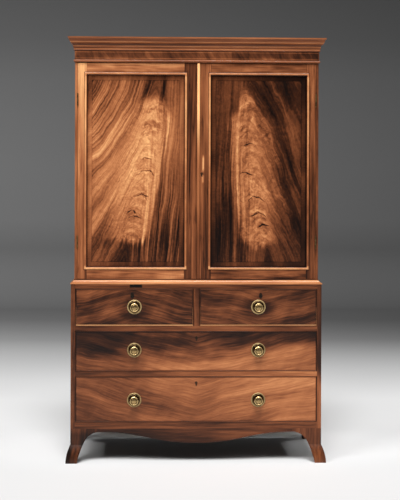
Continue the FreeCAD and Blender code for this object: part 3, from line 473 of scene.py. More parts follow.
    # The crossbanded border, with a dark string inside it.
    low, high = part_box(node)
    near_x = x.within(low.x + PANEL_REBATE, high.x - PANEL_REBATE)
    near_z = z.within(low.z + PANEL_REBATE, high.z - PANEL_REBATE)
    upright = near_z.above(near_x)
    running = z.toward(x, upright)
    cutting = x.toward(z, upright)
    band = finish.noise(cutting * 220, running * 40, seed + 17, 3, 0.6)
    blotch = finish.noise(cutting * 7, running * 5, seed + 19, 2, 0.5)
    follow = clouds * 0.22 + (broad - 0.5) * look["contrast"] * 0.8
    border = tone + follow + (band - 0.5) * 0.16 + (blotch - 0.5) * 0.2
    edge = near_x.least(near_z)
    shade = border.toward(shade, edge.rise(BAND, BAND + BAND_SEAM))
    string = edge.rise(BAND - STRING, BAND) * edge.rise(BAND + 2 * STRING, BAND + STRING)
    # The dark string, then painted shade along the panel's edge beside the bead.
    shade = shade - string * 0.08 - edge.rise(0.006, 0.0005) * 0.16

    # Plain straight grain on the back.
    open_pores = finish.noise(across * 420, z * 24, seed, 2, 0.6).rise(0.36, 0.46)
    middle_y = (low.y + high.y) / 2
    behind = finish.y.rise(middle_y - HAIR, middle_y + HAIR)
    shade = shade.toward(0.3 + streaks(finish, "z", seed) * 0.3, behind)
    finish.colour(shade * (0.93 + 0.07 * open_pores), mahogany_stops())
    finish.gloss(0.46 - 0.1 * open_pores - 0.1 * shade, coat=0.14, coat_roughness=0.14, specular=0.18)
    finish.relief(open_pores, 0.00005)
    return finish.material


# The right panel's ground and plume are set darker than the left's: painted shade on the side away from
# the light.
LEFT_FLAME = {
    "side": -1, "seed": 2.0, "foot": (-0.328, 1.06), "tip": (-0.196, 1.8), "bow": 0.0,
    "outward": (4.2, 5.0, 2.0), "inward": 11.0, "reach": 0.09, "lean": 0.082, "squeeze": 1.66,
    "narrow": 0.02, "shoulder": (0.75, 0.25, 0.0), "cleft": 0.13, "hem": 0.15, "belly": 1.4,
    "dim": -0.04, "pale": 0.59, "ground": 0.29, "middle": 0.15, "fall": 0.17, "outer": 0.06,
    "inner_top": 0.04, "corner": -0.05, "contrast": 0.48,
    "arcs": ((1.447, 0.055, -0.01), (1.332, 0.045, -0.01), (1.249, 0.03, 0.02), (1.222, 0.04, 0.0),
             (1.51, 0.03, 0.0)),
}
RIGHT_FLAME = {
    "side": 1, "seed": 31.0, "foot": (0.312, 1.06), "tip": (0.24, 1.83), "bow": -0.03,
    "outward": (2.8, -0.9, 0.6), "inward": 8.0, "reach": 0.078, "lean": 0.094, "squeeze": 1.62,
    "narrow": 0.05, "shoulder": (0.95, -0.5, 0.09), "cleft": 0.0, "hem": 0.15, "belly": 1.21,
    "dim": -0.1, "pale": 0.49, "ground": 0.18, "middle": 0.06, "fall": 0.1, "outer": -0.03,
    "inner_top": 0.1, "corner": 0.03, "contrast": 0.34,
    "arcs": ((1.58, 0.045, 0.0), (1.438, 0.04, -0.03), (1.32, 0.05, 0.0), (1.243, 0.055, 0.0),
             (1.185, 0.04, 0.02)),
}


# ------------------------------------------------
# Veneers of the door frames, the frieze and the drawer fronts
# ------------------------------------------------
DOOR_JOINT = 0.0012
KEYHOLE_PALENESS = 0.36
# Each place's middle and reach across, its middle, reach and core in height, and its strength.
KEYHOLE_PALE_PLACES = ((0.031, 0.007, 1.46, 0.05, 0.02, 1.0), (0.029, 0.008, 1.385, 0.025, 0.01, 0.5))


def door_frame(name, panel, shades, knee, seed):
    """Stiles with upright grain and rails with level grain, each of its own shade.

    Shades are for the left stile's top and foot, the right stile, the top rail and the bottom rail.
    They paint in light as well as the wood's tone: the stiles are painted palest high on the left
    door, where the light falls. The right stile has its top shade down to the share of its height
    called knee. It is paler in two places round the door's keyhole.
    """
    finish = Finish(name)
    x, z = finish.x, finish.z
    low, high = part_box(panel)
    middle_x = (low.x + high.x) / 2
    middle_z = (low.z + high.z) / 2
    left_top, left_foot, right_top, right_foot, top, bottom = shades
    height = z.rise(1.0, 1.9)
    # Painted light: the stiles are palest high on the left door.
    left = height * (left_top - left_foot) + left_foot
    right = height.rise(0.0, knee) * (right_top - right_foot) + right_foot
    stile = left.toward(right, x.above(middle_x))
    stile = stile + streaks(finish, "z", seed, 1.1, 60, 0.006) * 0.42
    stile = stile - finish.noise(x * 40, seed, z * 7, 3, 0.6).rise(0.55, 0.7) * 0.08
    rail = z.above(middle_z) * (top - bottom) + bottom
    rail = rail + streaks(finish, "x", seed + 3, 2.2, 60, 0.01) * 0.42
    rail = rail + (finish.noise(x * 11, seed, z * 30, 2, 0.5) - 0.5) * 0.3
    half = (high.x - low.x) / 2 - PANEL_REBATE
    beside = (x - middle_x).size()
    shade = stile.toward(rail, beside.rise(half, half - DOOR_JOINT / 2))
    for place, reach, height, most, least, strength in KEYHOLE_PALE_PLACES:
        pale_place = (x - place).size().rise(reach, 0.002) * (z - height).size().rise(most, least)
        shade = shade + pale_place * (KEYHOLE_PALENESS * strength)
    joint = (beside - half).size().rise(DOOR_JOINT, DOOR_JOINT / 3)
    return polish(finish, shade - joint * 0.16, "z")


def bead_finish(name, panel, crown, hollow, fade):
    """A bead round a panel: a painted highlight along its crown, and painted shade in the hollows beside
    it.

    The upright beads fade, by the amount given, towards the foot of the door.
    """
    finish = Finish(name)
    x, z = finish.x, finish.z
    low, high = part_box(panel)
    beside = (low.x + PANEL_REBATE - x).most(x - high.x + PANEL_REBATE)
    above = (low.z + PANEL_REBATE - z).most(z - high.z + PANEL_REBATE)
    reach = beside.most(above)
    crown_patches = finish.noise(x * 14, z * 14, 3.0, 3, 0.6) - 0.5
    ridge = reach.rise(0.0012, 0.004) * reach.rise(0.0132, 0.0105)
    lost = z.rise(1.75, 1.15) * fade * above.rise(0.0, -0.01)
    tone = hollow + ridge * (crown - hollow + crown_patches * 0.3 - lost) - reach.rise(0.0118, 0.0135) * 0.18
    # Painted shade: the top bead is darker.
    tone = tone - z.rise(high.z - 0.022, high.z - 0.012) * 0.13
    tone = tone + streaks(finish, "z", 5.0) * 0.1
    return polish(finish, tone, "z")


# Each line of painted light or shade is its height, half its width and how much paler it is.
CORNICE_LIGHT_LINES = ((2.071, 0.006, 0.08), (2.0515, 0.0032, 0.22), (2.041, 0.006, -0.08),
                 (2.0325, 0.003, 0.2), (2.0185, 0.004, 0.16), (2.012, 0.003, -0.06))


def cornice_finish(name):
    """Polished mouldings, with painted shade in each hollow and painted highlights on the fillets."""
    finish = Finish(name)
    tone = 0.37 + turned_streaks(finish, 6.0) * 0.24
    for middle, half, change in CORNICE_LIGHT_LINES:
        line = (finish.z - middle).size().rise(half, half * 0.4)
        tone = tone + line * change
    return polish(finish, tone, "x")


# How wide each leaf of veneer is.
LEAF = 0.085


def frieze_veneer(name):
    """Crossbanded frieze: upright figure, darker, with a pale string all round its front."""
    finish = Finish(name)
    x, z = finish.x, finish.z
    low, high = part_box("frieze")
    slant = x + finish.y + z * 0.5
    leaf = finish.chance((x / LEAF).whole())
    sway = finish.noise((x + finish.y) * 9, z * 7, 5.0, 2, 0.5) - 0.5
    figure = finish.noise((slant + sway * 0.05) * 34, z * 9, 3.0, 4, 0.65) - 0.5
    flare = finish.noise(slant * 8 + leaf * 3, z * 9, 9.0, 2, 0.5).rise(0.55, 0.75)
    shade = 0.27 + figure * 0.42 + (leaf - 0.5) * 0.08 + flare * 0.1
    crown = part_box("cornice_mouldings")[1].z - 0.066
    edge = x.within(low.x, high.x).least(z.within(low.z + 0.019, crown - 0.004))
    string = edge.rise(0.0, 0.0008) * edge.rise(0.0036, 0.0028)
    # The pale string, and painted shade darkening the frieze towards the right, away from the light.
    shade = shade + string * 0.16 - x.rise(0.1, 0.6) * 0.07
    return polish(finish, shade, "z")


def drawer_veneer(name, node, shades, contrast, sweep, seed):
    """Soft swirling figure, matched about the middle of the front, under darker clouds.

    Shades are for the left end, the middle and the right end along the top, then along the foot.
    A short drawer has painted shadow round its knob and painted shade round its keyhole.
    """
    finish = Finish(name)
    x, z = finish.x, finish.z
    low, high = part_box(node)
    place = x - (low.x + high.x) / 2
    half = (high.x - low.x) / 2

    # The figure rises or falls towards both ends.
    wander = finish.noise(x * 2.6, z * 3, seed, 2, 0.45) - 0.5
    drift = finish.noise(x * 2.3, z * 5, seed + 8, 3, 0.55) - 0.5
    across = z - place.size() * sweep + wander * 0.1
    broad = finish.noise(across * 15, x * 2.0, seed + 1, 3, 0.55)
    middle_streak = finish.noise(across * 50, x * 3, seed + 2, 3, 0.6)
    fine = finish.noise(across * 130, x * 7, seed + 3, 3, 0.7)
    ripple = finish.noise(x * 17 - z * 9, z * 5, seed + 4, 2, 0.5)

    # The clouds behind it, from the shades; the upper long drawer's dark top is painted shade.
    height = ((z - low.z) / (high.z - low.z) + drift * 1.5 - place.size() * sweep).rise(0.15, 0.9)
    rows = []
    for left, centre, right in (shades[3:], shades[:3]):
        leftward = place.rise(0.0, -half * 0.8)
        rightward = place.rise(0.0, half * 0.8)
        rows.append(centre + leftward * (left - centre) + rightward * (right - centre))
    tone = rows[0].toward(rows[1], height)
    figure = (broad - 0.5) * 1.2 + (middle_streak - 0.5) * 0.6
    figure = figure + (fine - 0.5) * 0.85 + (ripple - 0.5) * 0.3
    edge = x.within(low.x, high.x).least(z.within(low.z, high.z))
    if "short" in name:
        # Painted shadow round each knob, then painted shade round the keyhole.
        knob_low, knob_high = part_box(node.replace("front", "knobs"))
        aside = (x.size() - KNOB_PLACE) / 0.115 + drift * 0.8
        above = (z - (knob_low.z + knob_high.z) / 2 + 0.008) / 0.075
        tone = tone - (aside * aside + above * above).root().rise(1.0, 0.35) * 0.14
        aside = (place - math.copysign(LOCK_SHIFT, low.x)) / 0.01
        above = (z - high.z + EYE_DROP + 0.0035) / 0.016
        tone = tone - (aside * aside + above * above).root().rise(1.1, 0.6) * 0.18
    return polish(finish, tone + figure * contrast - edge.rise(0.009, 0.004) * 0.1, "x")


def waist_finish(name):
    """The waist moulding: a painted highlight across its nosing, darker below it, and painted shade along
    its top and in the corner behind it.
    """
    finish = Finish(name)
    low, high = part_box("waist_moulding")
    height = (finish.z - low.z) / (high.z - low.z)
    tone = 0.56 + height.rise(0.45, 0.7) * 0.12 - height.rise(0.7, 0.9) * 0.36
    # Painted shade in the corner behind the top, against the upper case.
    tone = tone - finish.y.rise(low.y + 0.007, low.y + 0.015) * height.rise(0.9, 1.0) * 0.22
    return polish(finish, tone + turned_streaks(finish, 7.0, 60.0) * 0.3, "x")


PATCH = (-0.327, -0.265)
PATCH_DEPTH = 0.0175


def facing_finish(name):
    """The strip under the waist, with an old dark patch let into its top edge."""
    finish = Finish(name)
    x, z = finish.x, finish.z
    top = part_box("lower_top_board")[1].z
    foot = top - PATCH_DEPTH
    patch = x.within(*PATCH).rise(0.0, 0.002) * z.rise(foot, foot + 0.004)
    tone = 0.22 + z.rise(0.3, 0.5) * 0.06 + streaks(finish, "x", 15.0, 2.0, 70) * 0.34
    return polish(finish, tone - patch * 0.4, "x")


# ------------------------------------------------
# Metal
# ------------------------------------------------
BRASS_TONES = [(0.0, (0.72, 0.52, 0.24, 1)), (0.5, (0.36, 0.235, 0.1, 1)),
               (1.0, (0.085, 0.055, 0.028, 1))]
KEYHOLE_SHADE_TONES = [(0.3, (0.008, 0.006, 0.004, 1)), (0.75, (0.03, 0.021, 0.012, 1))]
IRON_TONES = [(0.35, (0.16, 0.15, 0.145, 1)), (0.6, (0.2, 0.15, 0.12, 1)), (0.8, (0.2, 0.09, 0.05, 1))]


def meeting_finish(name):
    """The bead where the doors meet: painted paler towards the top as painted light, and duller towards
    the floor.
    """
    finish = Finish(name)
    height = finish.z
    tone = 0.32 + height.rise(1.05, 1.3) * 0.16 + height.rise(1.4, 1.75) * 0.42
    return polish(finish, tone + streaks(finish, "z", 2.0) * 0.16, "z")


def brass(name, rough=0.26, dark=0.0, hidden=None):
    """Old lacquered brass: brown in the hollows, rubbed bright where it is handled.

    Hidden is the place in Y of a front that lies against the wood, painted nearly black as painted shade
    seen through the keyhole.
    """
    finish = Finish(name)
    tarnish = finish.grit(90, 4, 0.6)
    specks = finish.grit(700, 2, 0.5).rise(0.62, 0.7)
    tone = tarnish.rise(0.3, 0.75) * 0.7 + specks * 0.25 + dark
    if hidden is not None:
        # Painted shade: the hidden front is pushed to the darkest brass.
        tone = tone + finish.y.rise(hidden + 0.002, hidden + 0.001) * 2.0
    finish.colour(tone, BRASS_TONES)
    finish.gloss(rough + 0.16 * tarnish + 0.1 * specks, metallic=1.0)
    finish.relief(finish.grit(260, 2, 0.5), 0.00006)
    return finish.material


KNOB_RIM = 0.0182
PLATE_RIM = (0.0278, 0.0305)


def knob_brass(drawer):
    """Dark old brass, with painted shade in the dish and round the neck, and painted highlights on each
    rim.
    """
    finish = Finish(f"{drawer}_knob_brass")
    low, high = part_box(f"{drawer}_knobs")
    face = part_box(f"{drawer}_front")[0].y
    across = finish.x.size() - KNOB_PLACE
    rise = finish.z - (low.z + high.z) / 2
    radius = (across * across + rise * rise).root()
    front = (face - finish.y).rise(0.026, 0.031)
    rolled = radius.rise(*PLATE_RIM)
    rim = (radius - KNOB_RIM).size().rise(0.0034, 0.0012) * front
    centre = radius.rise(0.0145, 0.011) * front
    tarnish = finish.grit(110, 4, 0.6)
    specks = finish.grit(700, 2, 0.5).rise(0.62, 0.7)
    painted_light = 0.84 if "short" in drawer else 0.6
    # Painted highlights on the plate's rolled rim, the knob's rim and its centre, brighter on the short
    # drawers; the rolled rim is also less metallic so that its painted highlight shows.
    tone = 0.9 - rolled * painted_light - rim * 0.84 - centre * 0.5 + (tarnish - 0.5) * 0.5 + specks * 0.1
    finish.colour(tone, BRASS_TONES)
    finish.gloss(0.2 + 0.14 * tarnish + 0.1 * specks + 0.12 * rolled, metallic=1 - 0.45 * rolled)
    finish.relief(finish.grit(260, 2, 0.5), 0.00005)
    return finish.material


def keyhole_shade(name):
    """Near-black brass for the keyhole linings: painted shade, so that each keyhole reads as a dark hole.
    """
    finish = Finish(name)
    tarnish = finish.grit(200, 3, 0.6)
    finish.colour(tarnish, KEYHOLE_SHADE_TONES)
    finish.gloss(0.5 + 0.2 * tarnish, specular=0.3, metallic=0.3)
    finish.relief(tarnish, 0.00005)
    return finish.material


def iron(name):
    """Worn iron: grey-brown, brighter where it rubs."""
    finish = Finish(name)
    rust = finish.grit(160, 4, 0.65)
    finish.colour(rust, IRON_TONES)
    finish.gloss(0.38 + 0.35 * rust, metallic=0.85)
    finish.relief(rust, 0.0001)
    return finish.material


# ------------------------------------------------
# Making pieces
# ------------------------------------------------
MERGE = 0.000005


def mesh_object(name, mesh, material):
    """Turn a bmesh into a named object of one material."""
    data = bpy.data.meshes.new(name)
    mesh.to_mesh(data)
    mesh.free()
    data.materials.append(material)
    return place_object(name, data)


def finish_piece(name, mesh, material, body):
    """Turn a bmesh into a named piece that rides on its body."""
    bmesh.ops.remove_doubles(mesh, verts=mesh.verts, dist=MERGE)
    bmesh.ops.recalc_face_normals(mesh, faces=mesh.faces)
    piece = mesh_object(name, mesh, material)
    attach(piece, body)
    return piece


def rounded(start, end, bulge, steps):
    """Points from start to end along a bow that stands bulge to the left of the straight way."""
    (a, b), (c, d) = start, end
    length = math.hypot(c - a, d - b)
    points = []
    for step in range(1, steps + 1):
        part = step / steps
        lift = 4 * bulge * part * (1 - part)
        points.append((a + (c - a) * part - (d - b) / length * lift,
                       b + (d - b) * part + (c - a) / length * lift))
    return points


TURN_STEPS = 64
CRISP = math.radians(35)


def turn_profile(mesh, profile, centre):
    """Spin a profile of (reach, radius) round a level line through the centre, towards -Y."""
    verts = [mesh.verts.new((centre.x + radius, centre.y - reach, centre.z)) for reach, radius in profile]
    edges = [mesh.edges.new(pair) for pair in zip(verts, verts[1:])]
    bmesh.ops.spin(mesh, geom=verts + edges, cent=centre, axis=(0, 1, 0), angle=2 * math.pi,
                   steps=TURN_STEPS, use_merge=True)


def shade_smooth(piece):
    """Smooth shading, with sharp edges left crisp."""
    mesh = bmesh.new()
    mesh.from_mesh(piece.data)
    for face in mesh.faces:
        face.smooth = True
    for edge in mesh.edges:
        edge.smooth = edge.calc_face_angle(0) < CRISP
    mesh.to_mesh(piece.data)
    mesh.free()
    return piece


# The outlines of the backplate and the knob: a start, then each next point with the bulge and the
# steps of the way to it. Points are (reach from the drawer, radius).
PLATE_START = [(0.0, 0.0), (0.0, 0.0352)]
PLATE_TURNS = (((0.0012, 0.0355), 0, 1), ((0.0018, 0.0292), 0.0031, 12),
               ((0.0034, 0.0262), -0.0005, 5), ((0.0034, 0.0246), 0.0006, 4),
               ((0.0026, 0.012), -0.0004, 4), ((0.0026, 0.0), 0, 1))
KNOB_START = [(0.0026, 0.0), (0.0026, 0.0125)]
KNOB_TURNS = (((0.0052, 0.0112), 0.0006, 4), ((0.0235, 0.0185), -0.003, 12),
              ((0.0262, 0.0202), -0.0002, 3), ((0.0352, 0.0188), 0.0028, 12),
              ((0.0344, 0.016), 0.0009, 6), ((0.0334, 0.0146), -0.0004, 4),
              ((0.0366, 0.0), 0.0012, 10))


def turned_outline(start, turns):
    """The whole outline of a turned part."""
    points = list(start)
    for end, bulge, steps in turns:
        points += rounded(points[-1], end, bulge, steps)
    return points


def make_knobs():
    """Turned knobs on dished plates, for the plain ones on the drawers."""
    outlines = turned_outline(PLATE_START, PLATE_TURNS), turned_outline(KNOB_START, KNOB_TURNS)
    for drawer in DRAWERS:
        low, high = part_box(f"{drawer}_knobs")
        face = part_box(f"{drawer}_front")[0].y
        radius = (high.z - low.z) / 2
        places = sorted({round(low.x + radius, 5), round(high.x - radius, 5)})
        mesh = bmesh.new()
        for x in places:
            centre = Vector((x, face, (low.z + high.z) / 2))
            for outline in outlines:
                turn_profile(mesh, outline, centre)
        piece = finish_piece(f"{drawer}_turned_knobs", mesh, knob_brass(drawer), drawer)
        shade_smooth(piece)
        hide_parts(f"{drawer}_knobs")


def only_verts(geom):
    """The vertices among what an operator hands back."""
    return [item for item in geom if isinstance(item, bmesh.types.BMVert)]


def add_rim(mesh, outline, width, proud):
    """A rim of the given width inside an outline that faces -Y. Returns its front vertices."""
    face = mesh.faces.new([mesh.verts.new(place) for place in outline])
    face.normal_update()
    ring = bmesh.ops.inset_region(mesh, faces=[face], thickness=width, use_boundary=True,
                                  use_even_offset=True)["faces"]
    bmesh.ops.delete(mesh, geom=[face], context="FACES")
    front = only_verts(bmesh.ops.extrude_face_region(mesh, geom=ring)["geom"])
    bmesh.ops.translate(mesh, verts=front, vec=(0, -proud, 0))
    return front


def add_bead(mesh, low, high, width, proud, lead):
    """A half-round bead round a rectangle that faces -Y, mitred at its corners."""
    corners = [(low.x, low.z), (high.x, low.z), (high.x, high.z), (low.x, high.z)]
    front = add_rim(mesh, [(x, low.y + lead, z) for x, z in corners], width, proud + lead)
    rims = [edge for edge in mesh.edges if all(end in front for end in edge.verts)
            and sum(all(vert in front for vert in face.verts) for face in edge.link_faces) == 1]
    bmesh.ops.bevel(mesh, geom=rims, offset=min(width, proud + lead) * 0.48, affect="EDGES",
                    segments=3, profile=0.5, material=-1)


COCK_BEAD = 0.0036
COCK_PROUD = 0.0016
COCK_LEAD = 0.002
COCK_SIDES = 0.15
# The painted light and shade of the bead along the top of a drawer and along its foot.
COCK_LOOKS = {"left_short_drawer": (0.3, 0.72), "right_short_drawer": (0.3, 0.66),
              "upper_long_drawer": (0.2, 0.3), "lower_long_drawer": (0.3, 0.3)}


def cock_finish(drawer):
    """A bead with painted light: pale where it would catch the light and darker at the sides, top and
    bottom apart.
    """
    finish = Finish(f"{drawer}_bead_mahogany")
    low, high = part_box(f"{drawer}_front")
    top, bottom = COCK_LOOKS[drawer]
    beside = finish.x.within(low.x, high.x).rise(COCK_BEAD, 0.6 * COCK_BEAD)
    middle = (low.z + high.z) / 2
    level = finish.z.rise(middle - 0.001, middle) * (top - bottom) + bottom
    shade = level.toward(COCK_SIDES, beside)
    return polish(finish, shade + streaks(finish, "x", 1.0) * 0.2, "x")


def make_cock_beads():
    """A thin bead round each drawer front."""
    for drawer in DRAWERS:
        material = cock_finish(drawer)
        low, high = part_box(f"{drawer}_front")
        mesh = bmesh.new()
        add_bead(mesh, low, high, COCK_BEAD, COCK_PROUD, COCK_LEAD)
        shade_smooth(finish_piece(f"{drawer}_cock_bead", mesh, material, drawer))


EYE_STEPS = 18


def keyhole_ring(mesh, x, y, z, radius, drop, wall, proud):
    """A thin raised rim round a round eye with a slot below it."""
    half = radius * 0.5
    turn = math.asin(half / radius)
    outline = []
    for step in range(EYE_STEPS + 1):
        angle = -math.pi / 2 + turn + (2 * math.pi - 2 * turn) * step / EYE_STEPS
        outline.append((radius * math.cos(angle), radius * math.sin(angle)))
    outline += [(-half, -drop), (half, -drop)]
    add_rim(mesh, [(x + a, y, z + b) for a, b in outline], wall, proud)


# How far behind the face each ring starts, then its radius, drop, wall and reach.
KEY_SLEEVE = (0.004, 0.0048, 0.0125, 0.0012, 0.0041)
KEY_LIP = (0.0002, 0.0062, 0.0142, 0.0024, 0.0006)


def line_keyhole(mesh, x, face, z):
    """The sleeve inside a keyhole and the thin dark lip that it is turned over into."""
    for behind, *ring in (KEY_SLEEVE, KEY_LIP):
        keyhole_ring(mesh, x, face + behind, z, *ring)


def make_keyhole_linings(material):
    """A sleeve and lip in each keyhole."""
    for drawer in DRAWERS:
        low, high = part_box(f"{drawer}_front")
        mesh = bmesh.new()
        shift = math.copysign(LOCK_SHIFT, low.x) if "short" in drawer else 0
        line_keyhole(mesh, (low.x + high.x) / 2 + shift, low.y, high.z - EYE_DROP)
        finish_piece(f"{drawer}_keyhole_lining", mesh, material, drawer)
    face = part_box("right_door_frame")[0].y
    mesh = bmesh.new()
    line_keyhole(mesh, DOOR_KEY[0], face, DOOR_KEY[1])
    finish_piece("door_keyhole_lining", mesh, material, "right_door")


SCREW = 0.0032
SCREW_SLOT = 0.0005
SCREW_PROUD = 0.0004
SCREW_ROOT = 0.001
SCREW_INSET = 0.006
SCREW_TURNS = (0.4, 1.3, 2.2, 0.9)
SCREW_STEPS = 12


def add_screw(mesh, x, y, z, turn):
    """A slotted screw head that faces +Y: two halves with the slot between them."""
    start = math.asin(SCREW_SLOT / SCREW)
    for half in (0, math.pi):
        verts = []
        for step in range(SCREW_STEPS + 1):
            angle = half + start + (math.pi - 2 * start) * step / SCREW_STEPS + turn
            verts.append(mesh.verts.new((x + SCREW * math.cos(angle), y, z + SCREW * math.sin(angle))))
        face = mesh.faces.new(verts)
        head = only_verts(bmesh.ops.extrude_face_region(mesh, geom=[face])["geom"])
        bmesh.ops.translate(mesh, verts=head, vec=(0, SCREW_PROUD + SCREW_ROOT, 0))


def make_lock_screws(material):
    """The four screws of each lock, on the face that looks inwards."""
    locks = [(f"{drawer}_lock", drawer) for drawer in DRAWERS] + [("door_lock", "right_door")]
    for lock, body in locks:
        low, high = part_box(lock)
        mesh = bmesh.new()
        places = [(x, z) for x in (low.x + SCREW_INSET, high.x - SCREW_INSET)
                  for z in (low.z + SCREW_INSET, high.z - SCREW_INSET)]
        for (x, z), turn in zip(places, SCREW_TURNS):
            add_screw(mesh, x, high.y - SCREW_ROOT, z, turn)
        finish_piece(f"{lock}_screws", mesh, material, body)


FACING = 0.0009
GLUE = 0.00002


def make_facing(material):
    """Mahogany glued over the front edge of the pine board that would show under the waist."""
    low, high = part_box("lower_top_board")
    corners = ((low.x, low.y - FACING, low.z), (high.x, low.y - GLUE, high.z))
    mesh = bmesh.new()
    for vert in bmesh.ops.create_cube(mesh, size=1)["verts"]:
        vert.co = [corners[vert.co[axis] > 0][axis] for axis in range(3)]
    shade_smooth(finish_piece("case_facing", mesh, material, "case"))


# ------------------------------------------------
# Finishes on the frame's own pieces
# ------------------------------------------------
def dress(material, *names):
    """Give pieces of the frame their finish."""
    for name in names:
        data = NODES[name].data
        data.materials.clear()
        data.materials.append(material)


# Each door's frame: the shades, the knee and the seed that door_frame takes. The shades paint in light as
# well as the wood's tone.
DOOR_LOOKS = {"left": ((0.67, 0.44, 0.27, 0.3, 0.52, 0.43), 0.45, 4.0),
              "right": ((0.43, 0.32, 0.39, 0.26, 0.39, 0.34), 1.0, 14.0)}
# The painted highlight on the crown, the painted shade in the hollow, and the fade of the beads round
# each panel.
BEAD_LOOKS = {"left": (0.7, 0.3, 0.22), "right": (0.68, 0.2, 0.26)}
# Each drawer's shades, and the contrast, sweep and seed of its figure.
DRAWER_LOOKS = (
    ("left_short_drawer", (0.31, 0.25, 0.25, 0.21, 0.27, 0.2), 0.46, -0.2, 2.0),
    ("right_short_drawer", (0.24, 0.29, 0.27, 0.3, 0.3, 0.25), 0.42, 0.25, 12.0),
    ("upper_long_drawer", (0.11, 0.22, 0.17, 0.3, 0.51, 0.45), 0.36, 0.22, 22.0),
    ("lower_long_drawer", (0.34, 0.45, 0.57, 0.29, 0.38, 0.47), 0.33, 0.26, 32.0),
)


def dress_doors():
    """The doors' panels, frames and beads."""
    for side, flame in (("left", LEFT_FLAME), ("right", RIGHT_FLAME)):
        panel = f"{side}_door_panel"
        dress(flame_panel(f"{side}_flame_veneer", panel, flame), panel)
        dress(door_frame(f"{side}_door_mahogany", panel, *DOOR_LOOKS[side]), f"{side}_door_frame")
        dress(bead_finish(f"{side}_bead_mahogany", panel, *BEAD_LOOKS[side]), f"{side}_door_beads")
    dress(meeting_finish("bead_mahogany"), "meeting_astragal")


def dress_cases():
    """The polished wood of both cases, the base and the cornice."""
    dress(frieze_veneer("frieze_veneer"), "frieze")
    dress(cornice_finish("cornice_mahogany"), "cornice_mouldings")
    dress(waist_finish("waist_mahogany"), "waist_moulding")
    for drawer, *look in DRAWER_LOOKS:
        dress(drawer_veneer(f"{drawer}_veneer", f"{drawer}_front", *look), f"{drawer}_front")
    dress(plain_mahogany("upright_mahogany", "z", 0.29, 0.34, 5.0),
          "upper_side_right", "lower_side_left", "drawer_divider")
    dress(painted_edge_light("upper_left_mahogany", "upper_side_left", 0.09, 0.2, 1.2, 1.9), "upper_side_left")
    dress(painted_edge_light("lower_right_mahogany", "lower_side_right", -0.1, 0.16, 0.5, 0.36),
          "lower_side_right")
    dress(drawer_rail("rail_mahogany"), "drawer_rails")
    dress(base_finish("apron_mahogany", "x", 0.15, 8.0), "front_apron")
    dress(base_finish("foot_mahogany", "z", 0.14, 11.0), "front_feet", "rear_feet")
    dress(plain_mahogany("depth_mahogany", "y", 0.27, 0.3, 9.0), "side_aprons")


OAK = ((0.15, 0.075, 0.03, 1), (0.36, 0.2, 0.085, 1), (0.54, 0.33, 0.15, 1))
PINE = ((0.17, 0.08, 0.032, 1), (0.4, 0.22, 0.09, 1), (0.6, 0.37, 0.17, 1))
BACK_BOARDS = 5
LIP = 0.005


def dress_inside():
    """The oak of the trays and drawers, and the pine of the boards behind."""
    dress(bare_wood("oak_across", "x", OAK, 4.0, width=24), *TRAYS)
    dress(bare_wood("oak_boxes", "y", OAK, 6.0, width=24), *[f"{drawer}_box" for drawer in DRAWERS])
    low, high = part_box("upper_back_boards")
    dress(bare_wood("pine_back", "z", PINE, 2.0, (low.x, (high.x - low.x) / BACK_BOARDS)),
          "upper_back_boards", "lower_back_boards")
    dress(bare_wood("pine_level", "x", PINE, 8.0), "lower_top_board", "lower_bottom_board",
          "cornice_top_board", "rear_rail")
    dress(bare_wood("pine_faced", "x", PINE, 8.5, lip=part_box("upper_top_board")[0].y + LIP),
          "upper_top_board", "upper_bottom_board")
    dress(bare_wood("pine_deep", "y", PINE, 9.0), "drawer_runners", "tray_bearers")
    dress(bare_wood("pine_blocks", "z", PINE, 5.0), "foot_blocks")


def dress_metal():
    """The hinges, locks and bolts. Returns the brass that the locks' screws share."""
    dark_metal = brass("tarnished_brass", 0.34, 0.5)
    dress(dark_metal, "case_hinge_leaves", "left_door_hinge_leaves", "right_door_hinge_leaves")
    dress(brass("drawer_lock_brass", hidden=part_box("lower_long_drawer_lock")[0].y),
          *[f"{drawer}_lock" for drawer in DRAWERS])
    dress(brass("door_lock_brass", hidden=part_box("door_lock")[0].y), "door_lock")
    dress(iron("worn_iron"), "door_lock_bolt", *[f"{drawer}_lock_bolt" for drawer in DRAWERS])
    return dark_metal


# ------------------------------------------------
# Floor, backdrop and light
# ------------------------------------------------
# The paper's tone at each distance behind the press, and then at each height up the wall.
FLOOR_TONES = ((-1.0, 0.75), (0.2, 0.83), (0.7, 0.87), (1.4, 0.87), (2.1, 0.725), (3.0, 0.5),
               (4.1, 0.25), (4.75, 0.18), (5.5, 0.12), (6.4, 0.1))
WALL_TONES = ((0.0, 0.1), (0.4, 0.14), (0.9, 0.19), (1.5, 0.186), (2.0, 0.172), (2.45, 0.155),
              (2.9, 0.12), (3.4, 0.1), (5.0, 0.08))
WALL = 7.0
SWEEP = 0.6
SWEEP_STEPS = 16
FLOOR_HALF = 9.0
FLOOR_FRONT = -9.0
WALL_HEIGHT = 9.0


def clear_from_behind(finish):
    """Makes the paper see-through from its back, so that the press shows from every side."""
    nodes, links = finish.material.node_tree.nodes, finish.material.node_tree.links
    out = next(node for node in nodes if node.type == "OUTPUT_MATERIAL")
    paper = out.inputs["Surface"].links[0].from_socket
    mix = nodes.new("ShaderNodeMixShader")
    links.new(nodes.new("ShaderNodeNewGeometry").outputs["Backfacing"], mix.inputs[0])
    links.new(paper, mix.inputs[1])
    links.new(nodes.new("ShaderNodeBsdfTransparent").outputs[0], mix.inputs[2])
    links.new(mix.outputs[0], out.inputs["Surface"])


